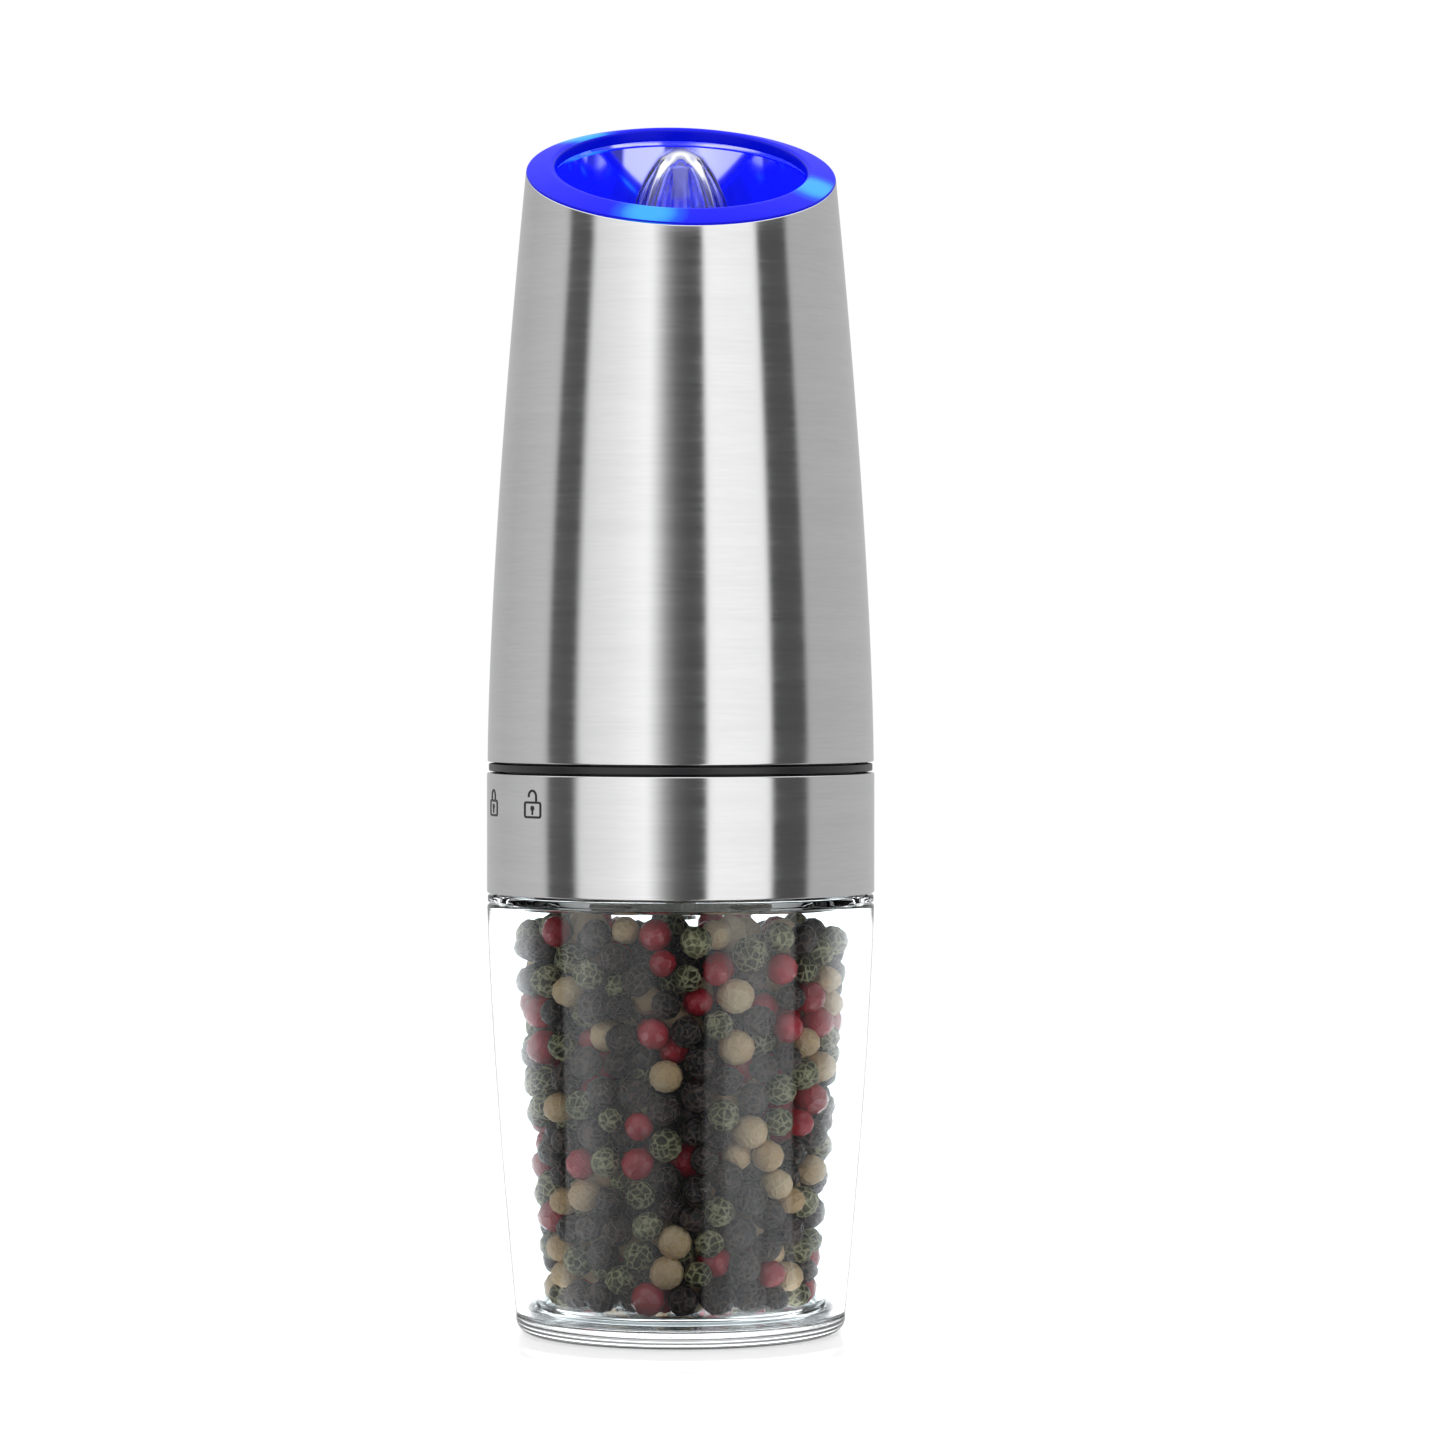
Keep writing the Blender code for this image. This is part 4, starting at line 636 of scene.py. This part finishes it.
def addThreadRib(bm, start):
    foot, top = threadRibs["foot"], threadRibs["foot"] + threadRibs["thick"]
    inner, outer, draft, steps = (threadRibs[key] for key in ("inner", "outer", "draft", "steps"))
    corners = [(inner, foot), (outer, foot + draft), (outer, top - draft), (inner, top)]
    verts = [bm.verts.new((r * math.cos(start) * mm, r * math.sin(start) * mm, z * mm)) for r, z in corners]
    edges = [bm.edges.new(pair) for pair in zip(verts, verts[1:] + verts[:1])]
    bmesh.ops.spin(bm, geom=verts + edges, cent=(0, 0, 0), axis=(0, 0, 1),
                   dvec=(0, 0, threadRibs["rise"] * mm / steps), angle=math.radians(threadRibs["turn"]), steps=steps,
                   use_duplicate=False)
    bmesh.ops.holes_fill(bm, edges=[edge for edge in bm.edges if edge.is_boundary], sides=4)
    bmesh.ops.recalc_face_normals(bm, faces=bm.faces)


def makeJar():
    clear = acrylic("clearAcrylic", jar["wallIndex"])
    heights = levels(footOf("jar_shell"), topOf("jar_shell"), 16)
    outside = [(jarRadius(z), z) for z in reversed(heights)]
    inside = [(jarRadius(z) - jar["wall"], z) for z in heights]
    outside[0], outside[-1] = (*outside[0], 0.5), (*outside[-1], 0.3)
    addPiece("jarShell", turnProfile(roundOutline(outside + inside), 160), [clear], "jar",
             ["jar_shell"])

    low, high = footOf("jar_cup"), topOf("jar_cup")
    floor = low + jar["cupWall"]
    flangeTop = topOf("jar_shell") + jar["flangeRise"]
    flangeFoot = flangeTop - jar["flange"]
    neck = jar["neck"]
    heights = levels(low, flangeFoot, 14)
    outside = [(neck, high, 0.4), (neck, flangeTop), (jar["radius"] - 0.1, flangeTop, 0.4),
               (jar["radius"] - 0.1, flangeFoot, 0.3)]
    outside += [(cupRadius(z), z) for z in reversed(heights)]
    outside[-1] = (*outside[-1], 1.6)
    inside = [(0.0, low), (0.0, floor)]
    inside += [(cupRadius(z) - jar["cupWall"], z) for z in levels(floor, flangeFoot - 0.6, 12)]
    inside[2] = (*inside[2], 1.2)
    inside += [(neck - jar["neckWall"], flangeTop), (neck - jar["neckWall"], high, 0.4)]
    bm = turnProfile(roundOutline(inside[1:] + outside + inside[:1]), 160)
    for start in threadRibs["starts"]:
        addThreadRib(bm, math.radians(start))
    addPiece("jarCup", bm, [acrylic("clearAcrylicCup", jar["cupIndex"])], "jar", ["jar_cup"])

    thickness, rounding = jar["baseThickness"], jar["baseRounding"]
    radius = jarRadius(thickness)
    foot = [(radius - rounding * (1 - math.cos(a)), rounding * (1 - math.sin(a)))
            for a in levels(0.0, math.pi / 2, 8)]
    spigot = radius - jar["wall"] - jar["spigotGap"]
    hollow, spigotTop = spigot - jar["spigotWall"], jar["spigotTop"]
    outline = [(0.0, thickness), (hollow, thickness), (hollow, spigotTop, 0.2), (spigot, spigotTop, 0.2),
               (spigot, thickness), (radius, thickness)]
    addPiece("jarBase", turnProfile(roundOutline(outline) + foot + [(0.0, 0.0)], 160), [clear], "jar",
             ["jar_base"])


# ---- peppercorns: settled by pushing overlapping balls apart inside the cup

corns = {"seed": 7, "count": 1010, "size": 5.3, "spread": 0.45, "top": 69.0, "tilt": -1.4, "kinds": {
    "black": 0.42, "green": 0.22, "white": 0.18, "pink": 0.18}}


def settleCorns():
    rng = np.random.default_rng(corns["seed"])
    count = corns["count"]
    radii = rng.normal(corns["size"], corns["spread"], count).clip(4.4, 6.2) / 2
    floor = footOf("jar_cup") + jar["cupWall"]
    heights = np.linspace(floor, corns["top"] + 4, 60)
    walls = np.array([cupRadius(z) - jar["cupWall"] for z in heights])
    start = rng.uniform(floor + 3, corns["top"] - 2, count)
    turns = rng.uniform(0, math.tau, count)
    reach = (np.interp(start, heights, walls) - 2.5) * np.sqrt(rng.uniform(0, 1, count))
    points = np.stack([reach * np.cos(turns), reach * np.sin(turns), start], 1)
    for step in range(160):
        gaps = points[:, None] - points[None]
        distances = np.sqrt((gaps ** 2).sum(2)) + np.eye(count) * 99
        wanted = radii[:, None] + radii[None]
        push = np.clip(wanted - distances, 0, None) / distances
        points += 0.42 * (gaps * push[:, :, None]).sum(1)
        points[:, 2] -= 0.02
        span = np.hypot(points[:, 0], points[:, 1])
        room = np.interp(points[:, 2], heights, walls) - radii - 0.1
        squeeze = np.minimum(1.0, room / np.maximum(span, 1e-6))
        points[:, :2] *= squeeze[:, None]
        roof = corns["top"] + corns["tilt"] * points[:, 0] / 25.0 - radii
        # the shaft and the knob hang down into the middle
        roof = np.where(np.hypot(points[:, 0], points[:, 1]) < 13.0, np.minimum(roof, 66.0 - radii), roof)
        points[:, 2] = np.clip(points[:, 2], floor + radii + 0.05, roof)
    return points, radii, rng


def cornMesh(kind, points, radii, rng):
    bm = bmesh.new()
    for point, radius in zip(points, radii):
        turn = Matrix.Rotation(rng.uniform(0, math.tau), 4, Vector(rng.normal(size=3)).normalized())
        squash = Matrix.Diagonal((1.0, rng.uniform(0.93, 1.0), rng.uniform(0.9, 1.0), 1.0))
        matrix = Matrix.Translation(Vector(point) * mm) @ turn @ squash
        made = bmesh.ops.create_icosphere(bm, subdivisions=2, radius=radius * mm, matrix=matrix)["verts"]
        if kind in ("black", "green"):
            middle = Vector(point) * mm
            for vert in made:
                vert.co = middle + (vert.co - middle) * rng.uniform(0.93, 1.0)
    return bm


def cornMaterial(kind, hollowTintAndShade, ridgeTintAndLight, roughness, wrinkle, sheen):
    # dried peppercorn skin: a net of pale ridges over dark hollows, partly the skin's own colour and partly painted
    # shade in the hollows and painted light on the ridges, since the bump alone shows little under the even studio
    # light; almost smooth on the white and pink kinds
    material, tree, shader = newMaterial(f"{kind}PeppercornSkin", Roughness=roughness, Specular_IOR_Level=sheen)
    bent = addNode(tree, "ShaderNodeTexNoise", {"Vector": objectPoints(tree, (500.0,) * 3), "Scale": 1.0,
                                                "Detail": 1.0})
    shift = addNode(tree, "ShaderNodeVectorMath", {0: bent.outputs["Color"], 1: (0.9, 0.9, 0.9)},
                    operation="MULTIPLY")
    points = addNode(tree, "ShaderNodeVectorMath", {0: objectPoints(tree, (820.0,) * 3), 1: shift.outputs[0]},
                     operation="ADD")
    cells = addNode(tree, "ShaderNodeTexVoronoi", {"Vector": points.outputs[0], "Scale": 1.0},
                    feature="DISTANCE_TO_EDGE")
    ridges = addNode(tree, "ShaderNodeMapRange", {"Value": cells.outputs["Distance"], "From Min": 0.0,
                                                  "From Max": 0.22, "To Min": 1.0, "To Max": 0.0},
                     interpolation_type="SMOOTHSTEP")
    patch = addNode(tree, "ShaderNodeTexNoise", {"Vector": objectPoints(tree, (170.0,) * 3), "Scale": 1.0,
                                                 "Detail": 2.0})
    tone = addNode(tree, "ShaderNodeMapRange", {"Value": patch.outputs["Fac"], "From Min": 0.3, "From Max": 0.7,
                                                "To Min": -0.25, "To Max": 0.35})
    share = addNode(tree, "ShaderNodeMath", {0: ridges.outputs[0], 1: wrinkle}, operation="MULTIPLY")
    toneAndRidgeShading = addNode(tree, "ShaderNodeMath", {0: share.outputs[0], 1: tone.outputs[0]}, operation="ADD",
                    use_clamp=True)
    # painted shade in the hollows and painted light on the ridges, laid over the skin's own tone
    colour = rampBetween(tree, toneAndRidgeShading.outputs[0], [(0.0, hexColour(hollowTintAndShade)), (1.0, hexColour(ridgeTintAndLight))])
    tree.links.new(colour, shader.inputs["Base Color"])
    addBump(tree, shader, ridges.outputs[0], 0.5 * wrinkle, 1.0)
    return material


# colour of the hollows with painted shade, colour of the ridges with painted light, roughness, how wrinkled, and how
# much it shines
cornKinds = {
    "black": ("#120e0f", "#6e5a52", 0.42, 0.75, 0.3),
    "green": ("#3c3a1c", "#cdc69c", 0.5, 0.7, 0.2),
    "white": ("#d4b084", "#ffecc8", 0.45, 0.2, 0.25),
    "pink": ("#a80820", "#f02c46", 0.22, 0.12, 0.5),
}


def makeCorns():
    points, radii, rng = settleCorns()
    order = rng.permutation(len(points))
    start = 0
    for kind, share in corns["kinds"].items():
        stop = start + round(share * len(points))
        chosen = order[start:stop]
        start = stop
        bm = cornMesh(kind, points[chosen], radii[chosen], rng)
        addPiece(f"{kind}Peppercorns", bm, [cornMaterial(kind, *cornKinds[kind])], "jar", sharp=180.0)


# ---- what stands under the casing: cells, cage, motor, board

def moveTo(bm, x, y, z=0.0, turn=0.0):
    bmesh.ops.rotate(bm, verts=bm.verts, cent=(0, 0, 0), matrix=Matrix.Rotation(math.radians(turn), 3, "Z"))
    bmesh.ops.translate(bm, verts=bm.verts, vec=(x * mm, y * mm, z * mm))
    return bm


def joinMeshes(pieces):
    joined = bmesh.new()
    for bm in pieces:
        mesh = bpy.data.meshes.new("joined")
        bm.to_mesh(mesh)
        bm.free()
        joined.from_mesh(mesh)
        bpy.data.meshes.remove(mesh)
    return joined


def boxMesh(size, bevel, material=0):
    bm = bmesh.new()
    bmesh.ops.create_cube(bm, size=1.0, matrix=Matrix.Diagonal((*(side * mm for side in size), 1.0)))
    bmesh.ops.bevel(bm, geom=bm.edges[:], offset=bevel * mm, affect="EDGES", segments=2, profile=0.5, material=-1)
    for face in bm.faces:
        face.material_index = material
    return bm


cells = {"count": 6, "radius": 5.25, "circle": 17.45, "nubRadius": 1.9, "nub": 0.9, "band": 9.0}


def makeCells():
    jacket = mouldedPlastic("printedFilmJacket", "#16324e", 0.28, 3.0)
    band = metalFinish("copperColouredFilm", "#b9793f", 0.3, 1.0)
    bare = metalFinish("nickelPlatedCan", "#c9c8c3", 0.22, 0.5)
    seal = mouldedPlastic("whiteSealRing", "#d8d8d4", 0.4, 0.5)
    for i in range(cells["count"]):
        node = f"cell_{i + 1}"
        low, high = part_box(node)
        bottom, top = low.z / mm, high.z / mm
        length, radius = top - bottom, cells["radius"]
        shoulder = length - cells["nub"]
        # from the flat end at 0 up to the nub
        outline = [(0.0, 0.0), (radius - 1.0, 0.0, 0.1), (radius - 0.9, 0.25, 0.1), (radius - 0.5, 0.0, 0.1),
                   (radius, 0.0, 0.35), (radius, length - cells["band"]), (radius, shoulder, 0.45),
                   (radius - 0.9, shoulder, 0.1), (radius - 1.0, shoulder - 0.25, 0.1),
                   (cells["nubRadius"] + 0.5, shoulder - 0.25, 0.1), (cells["nubRadius"], shoulder, 0.2),
                   (cells["nubRadius"], length, 0.35), (0.0, length)]
        bm = turnProfile(roundOutline(outline, 3), 56)
        for face in bm.faces:
            middle = face.calc_center_median() / mm
            away = math.hypot(middle.x, middle.y)
            if away > radius - 0.55:
                face.material_index = 1 if middle.z > length - cells["band"] else 0
            elif middle.z > shoulder - 0.5 and away > cells["nubRadius"] + 0.45:
                face.material_index = 3
            else:
                face.material_index = 2
        if i % 2:
            bmesh.ops.rotate(bm, verts=bm.verts, cent=(0, 0, 0), matrix=Matrix.Rotation(math.pi, 3, "X"))
            bmesh.ops.translate(bm, verts=bm.verts, vec=(0, 0, length * mm))
        angle = math.tau * i / cells["count"]
        moveTo(bm, cells["circle"] * math.cos(angle), cells["circle"] * math.sin(angle), bottom)
        addPiece(f"cellAaa{i + 1}", bm, [jacket, band, bare, seal], "head", [node])


cage = {"bore": 11.1, "tube": 11.9, "radius": 22.7, "foot": 92.1, "floorEdge": 98.5, "floor": 100.0, "roof": 150.2,
        "top": 152.0, "fin": 2.4, "finOutside": 21.2, "finFoot": 101.8, "finTop": 151.0, "finAngles": (30, 150, 270)}


def makeCage():
    tube, radius = cage["tube"], cage["radius"]
    outline = [(radius, cage["top"], 0.4), (radius, cage["roof"], 0.4), (tube, cage["roof"], 0.6),
               (tube, cage["floor"], 0.6), (radius, cage["floor"], 0.3), (radius, cage["floorEdge"], 0.4),
               (tube + 0.3, cage["foot"], 0.2), (cage["bore"], cage["foot"]), (cage["bore"], cage["top"], 0.3)]
    parts = [turnProfile(roundOutline(outline, 3), 120)]
    reach = cage["finOutside"] - tube + 0.4
    for angle in cage["finAngles"]:
        fin = boxMesh((reach, cage["fin"], cage["finTop"] - cage["finFoot"]), 0.35)
        moveTo(fin, tube - 0.4 + reach / 2, 0.0, (cage["finTop"] + cage["finFoot"]) / 2)
        parts.append(moveTo(fin, 0.0, 0.0, 0.0, angle))
    addPiece("cellCage", joinMeshes(parts), [mouldedPlastic("greyAbs", "#5a5d60", 0.5)], "head",
             ["cell_cage"])


motor = {"radius": 10.0, "foot": 104.3, "top": 130.3, "wall": 0.8, "nose": 1.4, "capFoot": 130.6, "capTop": 133.6}


def makeMotor():
    radius, inside = motor["radius"], motor["radius"] - motor["wall"]
    can = [(radius, motor["top"], 0.2), (radius, motor["foot"], 1.2), (motor["nose"], motor["foot"]),
           (motor["nose"], motor["foot"] + motor["wall"]), (inside, motor["foot"] + motor["wall"], 0.6),
           (inside, motor["top"])]
    addPiece("motorCan", turnProfile(roundOutline(can), 96), [metalFinish("zincPlatedSteelCan", "#c3c4c0", 0.3)],
             "head", ["motor_can"])
    pocket = 1.1
    cap = [(radius, motor["capTop"], 0.4), (radius, motor["capFoot"], 0.2), (pocket, motor["capFoot"]),
           (pocket, motor["capTop"] - 1.0), (0.0, motor["capTop"] - 1.0)]
    addPiece("motorEndCap", turnProfile([(0.0, motor["capTop"])] + roundOutline(cap), 96),
             [bpy.data.materials["blackAbs"]], "head", ["motor_end_cap"])


board = {"radius": 19.5, "foot": 152.3, "top": 153.9, "tilt": (6.0, 0.0), "tiltRadius": 2.6, "tiltWall": 0.7,
         "tiltFoot": 154.2, "tiltTop": 163.0, "chips": (
    # across, deep, high, x, y, turn, material
    (5.0, 4.0, 1.5, -5.0, 5.0, 0, 1), (3.0, 1.8, 1.1, -9.5, -3.0, 90, 1), (3.2, 1.6, 0.6, 3.0, 9.5, 20, 3),
    (2.0, 1.25, 0.5, -3.0, -7.0, 0, 1), (2.0, 1.25, 0.5, 0.5, -7.0, 0, 1), (2.0, 1.25, 0.8, 4.0, -8.5, 0, 3),
    (2.0, 1.25, 0.8, -10.5, 6.0, 90, 3), (2.0, 1.25, 0.5, -1.0, 12.0, 0, 1), (2.0, 1.25, 0.5, 10.0, 7.5, 60, 1),
    (2.0, 1.25, 0.5, 11.5, -5.0, 90, 1), (6.0, 4.2, 3.2, -4.0, -12.5, 0, 4))}


def makeBoard():
    radius = board["radius"]
    outline = [(radius, board["top"], 0.12), (radius, board["foot"], 0.12), (0.0, board["foot"])]
    mask, _, _ = newMaterial("greenSolderMask", Base_Color=hexColour("#0d5a2c"), Roughness=0.3, Coat_Weight=0.3)
    black = mouldedPlastic("epoxyMouldingCompound", "#161617", 0.45, 0.4)
    tinned = metalFinish("tinnedCopper", "#c9c7c0", 0.28, 0.3)
    tan = mouldedPlastic("ceramicCapacitorBody", "#a7845c", 0.4, 0.5)
    white = mouldedPlastic("whiteNylonConnector", "#dedcd4", 0.45, 0.5)
    addPiece("controlBoard", turnProfile([(0.0, board["top"])] + roundOutline(outline, 2), 120), [mask], "head",
             ["circuit_board"])
    parts = []
    for across, deep, high, x, y, turn, material in board["chips"]:
        body = boxMesh((across, deep, high), 0.12, material - 1)
        parts.append(moveTo(moveTo(body, 0, 0, 0, turn), x, y, board["top"] + high / 2 + 0.12))
        for side in (-1, 1):
            pad = boxMesh((0.5, deep * 0.8, 0.35), 0.05, 1)
            moveTo(pad, side * (across / 2 + 0.1), 0, board["top"] + 0.2)
            parts.append(moveTo(moveTo(pad, 0, 0, 0, turn), x, y))
    addPiece("boardComponents", joinMeshes(parts), [black, tinned, tan, white], "head")
    tilt, bore, top = board["tiltRadius"], board["tiltRadius"] - board["tiltWall"], board["tiltTop"]
    can = [(0.5, top), (tilt, top, 0.4), (tilt, board["tiltFoot"], 0.3), (0.0, board["tiltFoot"])]
    inner = [(0.0, board["tiltFoot"] + board["tiltWall"]), (bore, board["tiltFoot"] + board["tiltWall"]),
             (bore, top - board["tiltWall"]), (0.5, top - board["tiltWall"])]
    bm = turnProfile(inner + roundOutline(can, 3), 64)
    addPiece("tiltSwitchCan", moveTo(bm, *board["tilt"]), [tinned], "head", ["tilt_switch_can"])


hood = {"radius": 24.0, "wall": 1.0, "foot": 103.3, "shoulder": 155.0, "top": 168.3, "topRadius": 9.9}


def makeHood():
    radius, wall = hood["radius"], hood["wall"]
    outline = [(hood["topRadius"], hood["top"], 0.5), (radius, hood["shoulder"], 3.0), (radius, hood["foot"], 0.2),
               (radius - wall, hood["foot"]), (radius - wall, hood["shoulder"] - 0.4, 2.5),
               (hood["topRadius"] - 0.7 * wall, hood["top"] - wall), (0.0, hood["top"] - wall)]
    addPiece("hoodUnderDome", turnProfile([(0.0, hood["top"])] + roundOutline(outline), 144),
             [bpy.data.materials["blackAbs"]], "casing", ["hood"])


jarSeal = {"width": 1.7, "rounding": 0.35}


def makeSeal():
    low, high = (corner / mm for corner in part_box("jar_seal"))
    outside, rounding = high.x, jarSeal["rounding"]
    inside = outside - jarSeal["width"]
    outline = [(outside, high.z, rounding), (outside, low.z, rounding), (inside, low.z, rounding),
               (inside, high.z, rounding)]
    silicone = mouldedPlastic("whiteSilicone", "#dcdcd8", 0.5, 0.6)
    addPiece("jarSealRing", turnProfile(roundOutline(outline)), [silicone], "seal", ["jar_seal"])


# ---- CAD nodes that keep their shape

def finishNodes():
    finishes = {
        "black_abs": bpy.data.materials["blackAbs"],
        "white_ceramic": mouldedPlastic("sinteredAlumina", "#e6e3da", 0.4, 0.8),
        "white_acetal": mouldedPlastic("whiteAcetal", "#dcdcd8", 0.38, 0.5),
        "grey_abs": bpy.data.materials["greyAbs"],
        "amber_film": mouldedPlastic("polyimideFilm", "#b0702a", 0.3, 1.0),
        "lead_sleeve": mouldedPlastic("redPvcSleeve", "#a01818", 0.4, 0.8),
        "plated_steel": metalFinish("zincPlatedSteel", "#c6c7c2", 0.25),
        "spring_steel": metalFinish("nickelPlatedSpringSteel", "#b9b6ad", 0.2),
        "sintered_bronze": metalFinish("sinteredBronze", "#a8773f", 0.4, 0.3),
        "copper_winding": metalFinish("enamelledCopper", "#b4623a", 0.35, 0.4),
        "brushed_steel": bpy.data.materials["brushedStainlessSteel"],
    }
    slots = {part["node"]: part["material_slot"] for part in frame["record"]["subparts"]}
    # painted light: the white LED board and the amber flex get bluish base colours and a blue glow, standing in for
    # the blue light of the ring in which both look blue
    for name, colour, glow in (("led_board", "#dfe4ff", "#2436ff"), ("led_flex", "#3a2c60", "#1420b0")):
        material, _, shader = newMaterial(f"{name}WithPaintedBlueGlow", Base_Color=hexColour(colour), Roughness=0.4)
        shader.inputs["Emission Color"].default_value = hexColour(glow)
        shader.inputs["Emission Strength"].default_value = 0.5
        frame["nodes"][name].material_slots[0].material = material
    for name, node in frame["nodes"].items():
        finish = None if name in ("led_board", "led_flex") else finishes.get(slots[name])
        if finish:
            for slot in node.material_slots:
                slot.material = finish


makeCamera()
makeStudio()
print("camera and studio made")
makeCasing()
makeReflector()
makeLightRing()
makeDome()
print("casing, light ring and dome made")
makeSleeve()
makeJar()
print("sleeve and jar made")
makeCorns()
print("peppercorns made")
makeCells()
makeCage()
makeMotor()
makeBoard()
makeHood()
makeSeal()
print("cells, cage, motor, board and hood made")
finishNodes()
